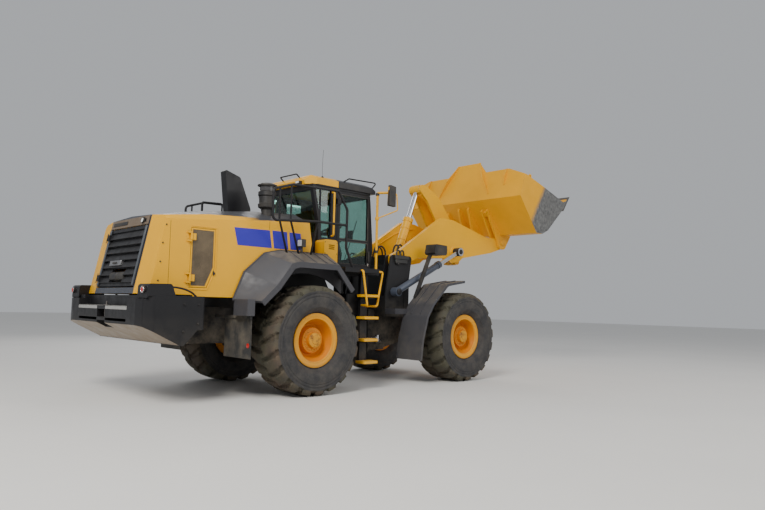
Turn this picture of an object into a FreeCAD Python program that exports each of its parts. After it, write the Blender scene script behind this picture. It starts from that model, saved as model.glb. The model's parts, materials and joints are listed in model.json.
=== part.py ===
import FreeCAD, Part
import os
from math import atan, cos, degrees, radians, sin, tan

# Articulated wheel loader, in millimetres.
# X points forward, Y to the left, Z up. While it is drawn, x = 0 is the
# steering hinge and z = 0 the ground; at the end the whole machine is moved
# along X so that its origin is under the middle of its length.

V = FreeCAD.Vector

# Fits
gap = 0.3
running = 6.0

# Wheels
wheelbase = 3550.0
track = 2300.0
tyre_radius = 830.0
tyre_width = 690.0
bead_radius = 345.0
flange_radius = 411.0
flange_width = 24.0
bead_half = 226.0
disc_offset = 60.0
disc_thick = 34.0
lug_count = 20
lug_depth = 45.0
lug_wide = 120.0
lug_skew = 45.0

# Steering hinge and frames
hinge_high = 1210.0
hinge_low = 590.0
hinge_radius = 105.0
hinge_pin = 50.0
hinge_plate = 60.0
frame_plate = 40.0
rear_rail_half = 420.0
front_rail_half = 340.0
rail_top = 1300.0
frame_rear = -3640.0
frame_low = 760.0
hood_foot = 1440.0
neck_half = 300.0
neck_top = 900.0
neck_low = 560.0
axle_arch = 1030.0
trunnion = 120.0
steer_lock = 36.0

# Axles
axle_tube = 150.0
axle_neck = 185.0
differential = 270.0
final_drive = 235.0

# Boom and linkage pivots at rest, as (x, z)
boom_foot = (700.0, 2230.0)
bucket_pin = (3990.0, 2840.0)
bellcrank_pin = (2680.0, 3040.0)
tilt_eye = (1887.0, 3819.0)
link_pin = (3010.0, 2390.0)
bucket_link_pin = (3660.0, 3070.0)
tilt_base = (1200.0, 2080.0)
lift_base = (600.0, 1640.0)
lift_eye = (2380.0, 2510.0)
cross_tube = (2490.0, 2670.0)

# Boom
arm_inner = 515.0
arm_thick = 85.0
nose_radius = 138.0
foot_radius = 130.0
main_pin = 55.0
cross_radius = 130.0

# Bellcrank and link
crank_inner = 115.0
crank_thick = 50.0
link_half = 105.0
link_depth = 85.0

# Cylinders
lift_y = 718.0
lift_barrel = 75.0
lift_rod = 42.0
lift_eye_half = 75.0
lift_pin = 45.0
tilt_barrel = 104.0
tilt_rod = 52.0
steer_y_base = 520.0
steer_y_eye = 470.0
steer_x_base = -850.0
steer_x_eye = 380.0
steer_z = 780.0
steer_barrel = 52.0
steer_rod = 28.0
steer_eye_half = 60.0
steer_lug = 25.0
steer_pin = 30.0

# Tower on the front frame
tower_rear = 400.0
tower_front = 1020.0
tower_plate = 30.0
tower_top = 2330.0
shelf_top = 2150.0

# Bucket
bucket_half = 1585.0
bucket_wall = 40.0
bucket_side = 36.0
guard_top = 4650.0
guard_half = 290.0
guard_foot = 700.0
guard_step = 1150.0
side_top = 4215.0

# Body at the rear
hood_half = 1050.0
hood_wall = 40.0
grille_half = 650.0
rear_half = 680.0
facet_turn = 0.13
hood_flat = 620.0
hood_shoulder = 975.0
hood_bottom = 1200.0
hood_lip = 1460.0
louvre_count = 7
louvre_margin = 50.0
louvre_proud = 20.0
louvre_window = 230.0
counter_half = 1350.0
counter_rear = -4450.0
counter_front = -3600.0
pad_inner = 870.0
tower_inner = 1052.0
tow_x = -4375.0
tow_radius = 32.0
tow_low = 1090.0
tow_high = 1290.0
fender_half = 1450.0
fender_inner = hood_half + 10.0
fender_plate = 40.0
# top of the rear fender at its inner and outer edge, as (distance from the axle, height)
fender_inner_rise = [(-1265.0, 1420.0), (-1098.0, 1824.0), (-762.0, 2121.0), (-495.0, 2182.0), (425.0, 2182.0),
                     (725.0, 1830.0)]
fender_outer_rise = [(-1025.0, 1400.0), (-768.0, 1635.0), (-515.0, 1960.0), (-373.0, 1995.0), (379.0, 1990.0),
                     (707.0, 1620.0)]
fender_inner_line = [(a - wheelbase / 2, z) for a, z in fender_inner_rise]
fender_outer_line = [(a - wheelbase / 2, z) for a, z in fender_outer_rise]
flap_behind_tyre = 295.0
flap_low = 590.0
flap_top = 1190.0

# Cab
cab_half = 800.0
cab_wall = 60.0
cab_floor = 1975.0
deck_low = 1900.0
wing_half = 1420.0
wing_rear = -1250.0
wing_root = -1095.0
wing_front = -480.0
cab_top = 3350.0
door_top = 3312.0
door_rail = 2480.0
roof_top = 3505.0
roof_rear = -1530.0
roof_edge = 820.0
cab_rear = -1330.0
cab_knee = 2720.0
cab_rear_high = (-1468.0, 3272.0)
cab_front = -100.0
door_hinge = -940.0
door_front = -180.0
door_thick = 45.0
glass_thick = 12.0
# window behind the door, as (x, z)
side_window = [(-1275.0, 2480.0), (-1275.0, 2720.0), (-1408.0, 3250.0), (-1395.0, 3285.0), (-1075.0, 3285.0),
               (-1075.0, 2480.0)]
window_low = 2560.0
window_high = 3255.0
window_half = 720.0

# Ladders
step_heights = (430.0, 790.0, 1150.0, 1510.0)
step_inner = 1180.0
step_outer = 1400.0

# Door hinges
hinge_off = 20.0
hinge_wire = 10.0
knuckle = 20.0
knuckle_half = 45.0
mesh_rear = -3700.0
mesh_front = -3330.0
mesh_low = 1560.0
mesh_high = 2380.0

# Hood lines, as (x, z)
hood_rear_low = (-4290.0, 1530.0)
hood_rear_high = (-4090.0, 2545.0)
# sections along the hood, as (x, crown, shoulder, crease of the side)
hood_sections = [(-4450.0, 2500.0, 2470.0, 2430.0), (-3407.0, 2700.0, 2596.0, 2512.0),
                 (-2495.0, 2800.0, 2640.0, 2600.0), (-1600.0, 2855.0, 2680.0, 2655.0)]
hood_front = -1700.0
grille_low = 1560.0
grille_high = 2402.0


# Drawing helpers

def loop(corners, place):
    # closed wire through corners (a, b) or (a, b, radius), placed in space by place(a, b)
    flat = [V(c[0], c[1], 0) for c in corners]
    count = len(flat)
    runs = []
    for i in range(count):
        here = flat[i]
        radius = corners[i][2] if len(corners[i]) > 2 else 0
        if radius == 0:
            runs.append((here, None, here))
            continue
        back = (flat[i - 1] - here).normalize()
        ahead = (flat[(i + 1) % count] - here).normalize()
        half = back.getAngle(ahead) / 2
        centre = here + (back + ahead).normalize() * (radius / sin(half))
        start = here + back * (radius / tan(half))
        end = here + ahead * (radius / tan(half))
        middle = centre + (here - centre).normalize() * radius
        runs.append((start, middle, end))
    edges = []
    for i in range(count):
        start, middle, end = runs[i]
        if middle is not None:
            edges.append(Part.Arc(place(start.x, start.y), place(middle.x, middle.y),
                                  place(end.x, end.y)).toShape())
        after = runs[(i + 1) % count][0]
        if end.distanceToPoint(after) > 0.001:
            edges.append(Part.LineSegment(place(end.x, end.y), place(after.x, after.y)).toShape())
    return Part.Wire(edges)


def slab(corners, y0, y1):
    # profile in (x, z), extruded across the machine
    return Part.Face(loop(corners, lambda a, b: V(a, y0, b))).extrude(V(0, y1 - y0, 0))


def deck(corners, z0, z1):
    # profile in (x, y), extruded upward
    return Part.Face(loop(corners, lambda a, b: V(a, b, z0))).extrude(V(0, 0, z1 - z0))


def wall(corners, x0, x1):
    # profile in (y, z), extruded along the machine
    return Part.Face(loop(corners, lambda a, b: V(x0, a, b))).extrude(V(x1 - x0, 0, 0))


def block(x0, x1, y0, y1, z0, z1):
    return Part.makeBox(x1 - x0, y1 - y0, z1 - z0, V(x0, y0, z0))


def pin(spot, radius, y0, y1):
    # round bar across the machine at spot (x, z)
    return Part.makeCylinder(radius, y1 - y0, V(spot[0], y0, spot[1]), V(0, 1, 0))


def post(x, y, radius, z0, z1):
    return Part.makeCylinder(radius, z1 - z0, V(x, y, z0), V(0, 0, 1))


def bar(start, end, radius):
    axis = V(*end) - V(*start)
    return Part.makeCylinder(radius, axis.Length, V(*start), axis)


def turned(profile, centre, axis):
    # ring or disc turned from corners (along, out) about the axis through centre
    upright = Part.Face(loop(profile, lambda a, b: V(b, 0, a)))
    solid = upright.revolve(V(0, 0, 0), V(0, 0, 1), 360)
    solid.Placement = FreeCAD.Placement(V(*centre), FreeCAD.Rotation(V(0, 0, 1), V(*axis)))
    return solid


def bent(points, radius, bend):
    # tube of one radius along points, with an arc of radius bend at each inner corner
    spots = [V(*p) for p in points]
    edges = []
    start = spots[0]
    for i in range(1, len(spots) - 1):
        back = (spots[i - 1] - spots[i]).normalize()
        ahead = (spots[i + 1] - spots[i]).normalize()
        half = back.getAngle(ahead) / 2
        reach = bend / tan(half)
        enter = spots[i] + back * reach
        leave = spots[i] + ahead * reach
        centre = spots[i] + (back + ahead).normalize() * (bend / sin(half))
        middle = centre + (spots[i] - centre).normalize() * bend
        edges.append(Part.LineSegment(start, enter).toShape())
        edges.append(Part.Arc(enter, middle, leave).toShape())
        start = leave
    edges.append(Part.LineSegment(start, spots[-1]).toShape())
    ring = Part.Wire(Part.makeCircle(radius, spots[0], spots[1] - spots[0]))
    return Part.Wire(edges).makePipeShell([ring], True, False)


def joined(shapes):
    whole = shapes[0]
    if len(shapes) > 1:
        whole = shapes[0].multiFuse(shapes[1:])
    return whole.removeSplitter()


def less(shape, tools):
    return shape.cut(Part.makeCompound(tools))


def mirrored(shape):
    return shape.mirror(V(0, 0, 0), V(0, 1, 0))


def apart(shapes):
    # like pieces that don't touch, in one node
    return Part.makeCompound([s for shape in shapes for s in shape.Solids])


nodes = {}


# Wheels: a tyre on a dished rim, outboard towards +Y, drawn about the origin

def drum(profile, sides):
    # ring with flat sides about the Y axis, from corners (along, distance of the flats)
    corner = 1 / cos(radians(180 / sides))
    columns = []
    for i in range(sides):
        angle = radians(360 / sides * (i + 0.5))
        columns.append([V(r * corner * sin(angle), a, -r * corner * cos(angle)) for a, r in profile])
    faces = []
    for i in range(sides):
        here, after = columns[i - 1], columns[i]
        for j in range(len(profile)):
            quad = [here[j - 1], here[j], after[j], after[j - 1]]
            faces.append(Part.Face(Part.makePolygon(quad + [quad[0]])))
    solid = Part.Solid(Part.Shell(faces))
    if solid.Volume < 0:
        solid.reverse()
    return solid


def tyre():
    half = tyre_width / 2
    crown = tyre_radius - lug_depth
    side = [(bead_half - gap, bead_radius + gap), (bead_half - gap, flange_radius + 14),
            (half * 0.92, tyre_radius * 0.6), (half, tyre_radius * 0.76), (half * 0.84, crown)]
    sides = 2 * lug_count
    body = drum(side + [(-a, r) for a, r in reversed(side)], sides)
    # one lug per side and pitch: a bar from near the middle, bent back over the shoulder
    foot = tyre_radius * 0.86
    limit = drum([(-half, 10), (-half, tyre_radius * 0.94), (-half * 0.8, tyre_radius), (half * 0.8, tyre_radius),
                  (half, tyre_radius * 0.94), (half, 10)], sides)
    lugs = []
    for i in range(sides):
        way = 1 if i % 2 == 0 else -1
        ends = [(-lug_wide / 2, 14), (lug_wide / 2, 14), (lug_wide / 2 + lug_skew, half), (-lug_wide / 2 + lug_skew, half)]
        lug = deck([(a, way * b) for a, b in ends], -2 * tyre_radius, -foot)
        lug.rotate(V(0, 0, 0), V(0, 1, 0), -360 / sides * i)
        lugs.append(lug.common(limit))
    return joined([body] + lugs)


def rim():
    drum = bead_radius - 32
    lip = bead_half + flange_width
    inner_face = disc_offset - disc_thick
    profile = [(inner_face, 0), (inner_face, drum), (-lip, drum), (-lip, flange_radius),
               (-bead_half, flange_radius), (-bead_half, bead_radius), (bead_half, bead_radius),
               (bead_half, flange_radius), (lip, flange_radius), (lip, drum + 14),
               (disc_offset + 40, drum - 40), (disc_offset, drum - 70), (disc_offset, 215),
               (disc_offset + 95, 190), (disc_offset + 105, 120), (disc_offset + 150, 110), (disc_offset + 150, 0)]
    return turned(profile, (0, 0, 0), (0, 1, 0))


def wheels():
    tyre_shape, rim_shape = tyre(), rim()
    side_of = {"left": 1, "right": -1}
    for end, x in (("front", wheelbase / 2), ("rear", -wheelbase / 2)):
        for side, sign in side_of.items():
            for name, first in (("tyre", tyre_shape), ("rim", rim_shape)):
                shape = first.copy() if sign > 0 else mirrored(first)
                shape.translate(V(x, sign * track / 2, tyre_radius))
                nodes[f"{name}_{end}_{side}"] = shape


# Axles: a differential in the middle, tapered necks, and a final drive in each wheel

def axle(x, seat_half):
    centre = (x, 0, tyre_radius)
    hub = track / 2 + disc_offset - disc_thick - gap
    profile = [(-hub, 0), (-hub, final_drive), (-hub + 150, final_drive), (-hub + 190, axle_tube + 20),
               (-differential - 340, axle_tube), (-differential - 20, axle_neck), (-differential / 2, differential),
               (differential / 2, differential), (differential + 20, axle_neck), (differential + 340, axle_tube),
               (hub - 190, axle_tube + 20), (hub - 150, final_drive), (hub, final_drive), (hub, 0)]
    housing = turned(profile, centre, (0, 1, 0))
    inward = V(-1 if x > 0 else 1, 0, 0)
    nose = Part.makeCone(differential * 0.8, trunnion, 260, V(x, 0, tyre_radius), inward)
    parts = [housing, nose, Part.makeCylinder(trunnion, 360, V(x, 0, tyre_radius), inward)]
    if seat_half:
        parts += [block(x - 130, x + 130, s * seat_half - 45, s * seat_half + 45, tyre_radius, axle_arch)
                  for s in (-1, 1)]
    else:
        parts.append(Part.makeCylinder(trunnion, 360, V(x, 0, tyre_radius), inward * -1))
    return joined(parts)


# Rear frame: two side rails, cross plates and the single lugs of the steering hinge

def rear_frame():
    outer = rear_rail_half
    axle_x = -wheelbase / 2
    low = frame_low
    rail = slab([(frame_rear, low, 60), (axle_x - 575, low, 60), (axle_x - 240, 1110, 60), (axle_x + 240, 1110, 60),
                 (axle_x + 525, 700, 60), (-1050, 700, 60), (-760, neck_top, 60), (-330, neck_top),
                 (-330, rail_top, 60), (frame_rear, rail_top)], outer - frame_plate, outer)
    inner = outer - frame_plate
    neck = slab([(-1230, 720), (-1050, neck_low, 60), (-330, neck_low), (-330, neck_top + 60),
                 (-1230, neck_top + 60)], neck_half - frame_plate, neck_half)
    rails = [rail, mirrored(rail), neck, mirrored(neck)]
    head = [block(-370, -330, -outer, outer, neck_top, rail_top),
            block(-370, -330, -neck_half, neck_half, neck_low, neck_top)]
    # cross bars under the hood's side panels
    head += [block(x, x + 90, -hood_half + 10, hood_half - 10, rail_top - 10, hood_foot - gap)
             for x in (frame_rear + 80, frame_rear + 780)]
    plates = [block(frame_rear, frame_rear + 40, -inner, inner, low, rail_top),
              block(axle_x - 925, axle_x - 885, -inner, inner, low, rail_top),
              block(axle_x + 535, axle_x + 575, -inner, inner, 720, rail_top),
              block(frame_rear + 20, axle_x - 905, -inner, inner, low, low + 30),
              block(-1060, -350, -neck_half, neck_half, neck_low, neck_low + 30)] + head
    lugs = []
    for z in (hinge_high, hinge_low):
        lug = deck([(-350, -neck_half), (-60, -hinge_radius, 40), (hinge_radius, -hinge_radius, hinge_radius - 1),
                    (hinge_radius, hinge_radius, hinge_radius - 1), (-60, hinge_radius, 40), (-350, neck_half)],
                   z - hinge_plate / 2, z + hinge_plate / 2)
        lugs.append(less(lug, [post(0, 0, hinge_pin + gap, z - hinge_plate, z + hinge_plate)]))
    # hangers that the axle's trunnions turn in
    hangers = []
    for x0 in (axle_x - differential - 65, axle_x + differential + 5):
        hanger = wall([(-inner, 1180), (-inner, 1080), (-200, 690, 60), (200, 690, 60), (inner, 1080), (inner, 1180)],
                      x0, x0 + 60)
        hangers.append(less(hanger, [bar((x0 - 10, 0, tyre_radius), (x0 + 70, 0, tyre_radius), trunnion + gap)]))
    # lugs for the barrels of the steering cylinders
    ears = []
    for side in (-1, 1):
        root = side * (neck_half - 20)
        tip = side * (steer_y_base + 65)
        for z in (steer_z - steer_eye_half - 1 - steer_lug, steer_z + steer_eye_half + 1):
            ears.append(deck([(steer_x_base - 250, root), (steer_x_base + 120, root), (steer_x_base + 65, tip, 60),
                              (steer_x_base - 65, tip, 60)], z, z + steer_lug))
        ears.append(post(steer_x_base, side * steer_y_base, steer_pin, steer_z - steer_eye_half - 5,
                         steer_z + steer_eye_half + 5))
    return joined(rails + plates + lugs + hangers + ears)


# Front frame: a narrow box, the twin lugs of the hinge and the tower that carries the boom

def front_frame():
    outer = front_rail_half
    inner = outer - frame_plate
    axle_x = wheelbase / 2
    nose = axle_x + 305
    rail = slab([(300, neck_low), (300, rail_top, 60), (axle_x - 125, rail_top, 120), (nose, 1120, 40), (nose, 860),
                 (axle_x + 240, 860), (axle_x + 210, axle_arch), (axle_x - 210, axle_arch), (axle_x - 240, 860),
                 (axle_x - 675, 700, 80), (520, neck_low)], inner, outer)
    parts = [rail, mirrored(rail),
             block(260, 300, -outer, outer, neck_low - 20, rail_top),
             block(300, axle_x - 215, -outer, outer, rail_top - 30, rail_top),
             block(300, 700, -inner, inner, neck_low, neck_low + 30),
             block(nose - 28, nose, -inner, inner, 860, 1100)]
    for z in (hinge_high, hinge_low):
        for low in (z - hinge_plate / 2 - running - 40, z + hinge_plate / 2 + running):
            parts.append(deck([(300, -300), (60, -hinge_radius, 40), (-hinge_radius, -hinge_radius, hinge_radius - 1),
                               (-hinge_radius, hinge_radius, hinge_radius - 1), (60, hinge_radius, 40), (300, 300)],
                              low, low + 40))
        parts.append(post(0, 0, hinge_pin, z - hinge_plate, z + hinge_plate))
    # tower: inner and outer plate each side, with the boom's foot between them
    arm_outer = arm_inner + arm_thick
    edge = [(tower_rear, 1180, 40), (tower_rear, 1560, 80), (530, tower_top, 60), (1090, tower_top, 60),
            (tower_front, 1900, 120), (tower_front, 1180, 40)]
    side_in = arm_inner - running - 36
    side_out = arm_outer + running + tower_plate
    for y0, y1 in ((side_in, arm_inner - running), (arm_outer + running, side_out)):
        parts += [slab(edge, y0, y1), slab(edge, -y1, -y0)]
    for side in (-1, 1):
        low, high = sorted((side * outer, side * side_out))
        parts.append(block(tower_rear, tower_front, low, high, 1180, 1230))
        parts.append(block(tower_rear, tower_rear + 40, low, high, 1180, 1560))
        # stiffening rib down the outer plate
        parts.append(slab([(880, 1230), (940, 1230), (960, 1900), (900, 1900)],
                          *sorted((side * side_out, side * (side_out + 10)))))
        parts.append(pin(boom_foot, main_pin, *sorted((side * side_in, side * side_out))))
        parts.append(pin(boom_foot, main_pin + 35, *sorted((side * side_out, side * (side_out + 10)))))
        parts.append(pin(lift_base, lift_pin, *sorted((side * side_out, side * (lift_y + lift_eye_half + 8)))))
    parts.append(slab([(430, 1300), (470, 1300), (590, shelf_top - 30), (900, shelf_top - 30), (900, shelf_top),
                       (555, shelf_top)], -side_in, side_in))
    # bracket that holds the tilt cylinder
    for y0 in (-tilt_barrel - 58, tilt_barrel + 18):
        parts.append(slab([(760, rail_top - 10), (1060, 2100, 60), (1140, 2185, 60), (1260, 2185, 60), (1310, 2060, 60),
                           (1400, rail_top - 10)], y0, y0 + 40))
    parts.append(pin(tilt_base, main_pin, -tilt_barrel - 40, tilt_barrel + 40))
    # lugs under the eyes of the steering rods
    for side in (-1, 1):
        root = side * (outer - 20)
        tip = side * (steer_y_eye + 60)
        parts.append(deck([(steer_x_eye - 80, root), (steer_x_eye + 160, root), (steer_x_eye + 60, tip, 50),
                           (steer_x_eye - 60, tip, 50)], steer_z - steer_eye_half - steer_lug, steer_z - steer_eye_half))
    return joined(parts)


# Boom: two deep arms, the tube between them and the bellcrank's lugs

def boom():
    bx, bz = bucket_pin
    ax, az = boom_foot
    arm_outer = arm_inner + arm_thick
    edge = [(ax - foot_radius, az - 30, 60), (ax - foot_radius, az + 90, 70), (812, 2440, 120), (1992, 3192, 260),
            (2375, 3171, 200), (3498, 2914, 400), (bx - 110, bz + 95, 60), (bx + 60, bz + 110, 80),
            (bx + nose_radius - 20, bz - 20, 80), (bx + 60, bz - 130, 90), (3640, 2590, 300), (2672, 2410, 100),
            (2560, 2330, 40), (2300, 2280, 60), (2180, 2370, 60), (1295, 2316, 300), (ax + 60, az - foot_radius, 80),
            (ax - 80, az - foot_radius, 60)]
    arm = slab(edge, arm_inner, arm_outer)
    arm = less(arm, [pin(boom_foot, main_pin + gap, arm_inner - 1, arm_outer + 1),
                     pin(bucket_pin, main_pin + gap, arm_inner - 1, arm_outer + 1)])
    boss = pin(lift_eye, 85, arm_outer, lift_y - lift_eye_half - gap)
    parts = [arm, mirrored(arm), boss, mirrored(boss),
             pin(cross_tube, cross_radius, -arm_inner, arm_inner)]
    px, pz = bellcrank_pin
    cx, cz = cross_tube
    outer = crank_inner + crank_thick + running
    for y0 in (-outer - 45, outer):
        parts.append(slab([(cx - 120, cz), (px - 125, pz, 60), (px - 70, pz + 100, 70), (px + 70, pz + 100, 70),
                           (px + 115, pz - 40, 60), (cx + 125, cz - 20)], y0, y0 + 45))
    parts.append(pin(bellcrank_pin, main_pin, -outer - 45, outer + 45))
    return joined(parts)


# Bellcrank: two curved plates on one hub; the tilt rod's eye lies between their tops

def bellcrank():
    px, pz = bellcrank_pin
    ex, ez = tilt_eye
    lx, lz = link_pin
    edge = [(ex - 95, ez - 40, 70), (ex - 60, ez + 85, 70), (ex + 80, ez + 90, 70), (2386, 3700, 200),
            (2745, 3300, 250), (px + 140, pz - 60, 120), (lx + 95, lz + 40, 60), (lx + 70, lz - 80, 60),
            (lx - 60, lz - 85, 60), (lx - 95, lz + 40, 60), (px - 110, pz - 140, 120), (2330, 3150, 150),
            (2050, 3560, 200)]
    plate = slab(edge, crank_inner, crank_inner + crank_thick)
    hub = pin(bellcrank_pin, main_pin + 60, -crank_inner - 1, crank_inner + 1)
    whole = joined([plate, mirrored(plate), hub])
    whole = less(whole, [pin(bellcrank_pin, main_pin + gap, -300, 300)])
    return whole


# Link from the bucket's ears back to the bellcrank's lower end

def bucket_link():
    ex, ez = bucket_link_pin
    lx, lz = link_pin
    along = V(lx - ex, 0, lz - ez)
    across = V(-along.z, 0, along.x).normalize() * link_depth
    ends = [V(ex, 0, ez), V(lx, 0, lz)]
    corners = [ends[0] + across, ends[1] + across, ends[1] - across, ends[0] - across]
    body = slab([(c.x, c.z) for c in corners], -55, 55)
    eyes = [pin(bucket_link_pin, 100, -link_half, link_half), pin(link_pin, 95, -link_half, link_half)]
    stub = pin(link_pin, 50, -crank_inner + 1, crank_inner - 1)
    whole = joined([body, stub] + eyes)
    return less(whole, [pin(bucket_link_pin, main_pin + gap, -300, 300)])


# Bucket: wrapper plate, side plates, back ribs, ears and the spill guard on its top edge

wrapper = [(3323, 3729), (3637, 3349), (3930, 3005), (4169, 3003), (4382, 3099), (4954, 3589), (5200, 3860)]
back_top = (3544, 4390)


def offset_path(points, distance):
    # the same open path moved sideways, mitred at its corners
    moved = []
    count = len(points)
    for i in range(count):
        normals = []
        for j, k in ((i - 1, i), (i, i + 1)):
            if j < 0 or k >= count:
                continue
            step = V(points[k][0] - points[j][0], points[k][1] - points[j][1], 0).normalize()
            normals.append(V(-step.y, step.x, 0))
        total = normals[0]
        if len(normals) > 1:
            total = (normals[0] + normals[1]).normalize()
            total = total * (1 / total.dot(normals[0]))
        moved.append((points[i][0] + total.x * distance, points[i][1] + total.y * distance))
    return moved


def bucket():
    inside = offset_path(wrapper, bucket_wall)
    skin = slab(wrapper + list(reversed(inside)), -bucket_half, bucket_half)
    knee = wrapper[0]
    slope = V(back_top[0] - knee[0], 0, back_top[1] - knee[1]).normalize()
    across = V(slope.z, 0, -slope.x)

    def on_back(a, b):
        # a across the bucket, b height above the knee measured straight up
        return V(knee[0], a, knee[1]) + slope * (b / slope.z)

    high = back_top[1] - knee[1]
    side_high = side_top - knee[1]
    top = guard_top - knee[1]
    half = bucket_half
    back = Part.Face(loop([(-half, 0), (-half, side_high), (-guard_step, high), (-guard_foot * 0.75, high),
                           (-guard_half, top), (guard_half, top), (guard_foot * 0.75, high), (guard_step, high),
                           (half, side_high), (half, 0)], on_back)).extrude(across * bucket_wall)
    # side plates with a raised strip along the open edge
    lip = [(5019, 3800), (4225, 4030), (3530, side_top)]
    side = [knee] + wrapper[1:] + lip
    strip = [wrapper[-1], lip[0], lip[1], lip[2], (lip[2][0] - 15, lip[2][1] - 115), (4195, 3905), (4930, 3690),
             (5085, 3735)]
    parts = [skin, back]
    for sign in (-1, 1):
        outer = sign * half
        parts.append(slab(side, *sorted((outer, outer - sign * bucket_side))))
        parts.append(slab(strip, *sorted((outer - sign * bucket_side, outer - sign * (bucket_side + 22)))))
    # guard flanges and gussets that stand out of the back
    for sign in (-1, 1):
        for foot_y, foot_z, tip_y, tip_z, reach in ((guard_foot, 130, guard_half, top, 90), (1080, 300, 1080, high, 75)):
            foot = on_back(sign * foot_y, foot_z)
            tip = on_back(sign * tip_y, tip_z)
            middle = (foot + tip) * 0.5
            flange = Part.Face(Part.makePolygon([foot, tip, tip - across * 12, middle - across * reach, foot - across * 12,
                                                 foot]))
            parts.append(flange.extrude(V(0, sign * 30, 0)))
    # ears in pairs beside each arm, running on as ribs up the back, and the ears of the link
    bx, bz = bucket_pin
    arm_outer = arm_inner + arm_thick
    ear = [(3470, 3549), (3440, 3500), (bx - 150, bz + 20, 120), (bx - 100, bz - 145, 110), (bx + 100, bz - 145, 110),
           (4290, 2985, 60), (4330, 3090), (4169, 3020), (3950, 3030), (3660, 3370)]
    for y0, y1 in ((arm_inner - running - 50, arm_inner - running), (arm_outer + running, arm_outer + running + 50)):
        parts += [slab(ear, y0, y1), slab(ear, -y1, -y0)]
    pins = pin(bucket_pin, main_pin, arm_inner - running - 60, arm_outer + running + 64)
    parts += [pins, mirrored(pins)]
    ex, ez = bucket_link_pin
    link_ear = [(3420, 3612), (3400, 3560), (ex - 105, ez + 40, 90), (ex - 60, ez - 100, 90), (ex + 60, ez - 100, 80),
                (3960, 2998), (3950, 3030), (3660, 3370)]
    inner = link_half + running
    for y0 in (inner, -inner - 50):
        parts.append(slab(link_ear, y0, y0 + 50))
    parts.append(pin(bucket_link_pin, main_pin, -inner - 50, inner + 50))
    # stops that meet the arms when the bucket is rolled right back
    stop = slab([(3500, 3513), (3478, 3470), (3545, 3390), (3600, 3394)], arm_inner, arm_outer)
    parts += [stop, mirrored(stop)]
    return joined(parts)


def cutting_edge():
    x0, z0 = wrapper[-2]
    x1, z1 = wrapper[-1]
    step = V(x1 - x0, 0, z1 - z0).normalize()
    down = V(step.z, 0, -step.x)
    tip = V(5287, 0, 3956)
    start = V(x0, 0, z0) + step * 60
    corners = [start, V(x1, 0, z1), tip, tip + down * 8, start + down * 50]
    return slab([(c.x, c.z) for c in corners], -bucket_half, bucket_half)


# Cylinders: barrel with its base eye, rod with its own eye, both on one line

def barrel(base, eye, length, radius, rod_radius, y, eye_half, pin_radius):
    # base and eye are (x, z); the barrel is drawn across y
    start = V(base[0], y, base[1])
    way = (V(eye[0], y, eye[1]) - start).normalize()
    inner = Part.makeCylinder(rod_radius + gap, length, start + way * 150, way)
    tube = Part.makeCylinder(radius, length - 60, start + way * 60, way)
    collar = Part.makeCylinder(radius + 10, 80, start + way * (length - 80), way)
    ring = pin(base, pin_radius + 38, y - eye_half, y + eye_half)
    bore = pin(base, pin_radius + gap, y - eye_half - 1, y + eye_half + 1)
    return less(joined([tube, collar, ring]), [inner, bore])


def rod(base, eye, start_at, radius, y, eye_half, eye_radius):
    origin = V(base[0], y, base[1])
    line = V(eye[0], y, eye[1]) - origin
    way = V(line).normalize()
    shaft = Part.makeCylinder(radius, line.Length - start_at - eye_radius / 2, origin + way * start_at, way)
    return joined([shaft, pin(eye, eye_radius, y - eye_half, y + eye_half)])


def cylinders():
    for side, sign in (("left", 1), ("right", -1)):
        y = sign * lift_y
        nodes[f"lift_barrel_{side}"] = barrel(lift_base, lift_eye, 1330, lift_barrel - 10, lift_rod, y,
                                              lift_eye_half - 2, 45)
        nodes[f"lift_rod_{side}"] = rod(lift_base, lift_eye, 640, lift_rod, y, lift_eye_half, 85)
    nodes["tilt_barrel"] = barrel(tilt_base, tilt_eye, 1180, tilt_barrel - 10, tilt_rod, 0, tilt_barrel, main_pin)
    nodes["tilt_rod"] = rod(tilt_base, tilt_eye, 640, tilt_rod, 0, crank_inner - gap, 95)


def steering_cylinders():
    for side, sign in (("left", 1), ("right", -1)):
        base = V(steer_x_base, sign * steer_y_base, steer_z)
        eye = V(steer_x_eye, sign * steer_y_eye, steer_z)
        way = (eye - base).normalize()
        length = 760
        tube = Part.makeCylinder(steer_barrel, length - 40, base + way * 40, way)
        eye_ring = post(base.x, base.y, 50, steer_z - steer_eye_half, steer_z + steer_eye_half)
        shape = less(joined([tube, eye_ring]), [Part.makeCylinder(steer_rod + gap, length, base + way * 80, way),
                                               post(base.x, base.y, 30 + gap, steer_z - 80, steer_z + 80)])
        nodes[f"steering_barrel_{side}"] = shape
        shaft = Part.makeCylinder(steer_rod, (eye - base).Length - 430 - 20, base + way * 430, way)
        nodes[f"steering_rod_{side}"] = joined([shaft, post(eye.x, eye.y, 48, steer_z - steer_eye_half + gap,
                                                                      steer_z + steer_eye_half)])


# Rear end: counterweight, hood, grille and doors

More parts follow.
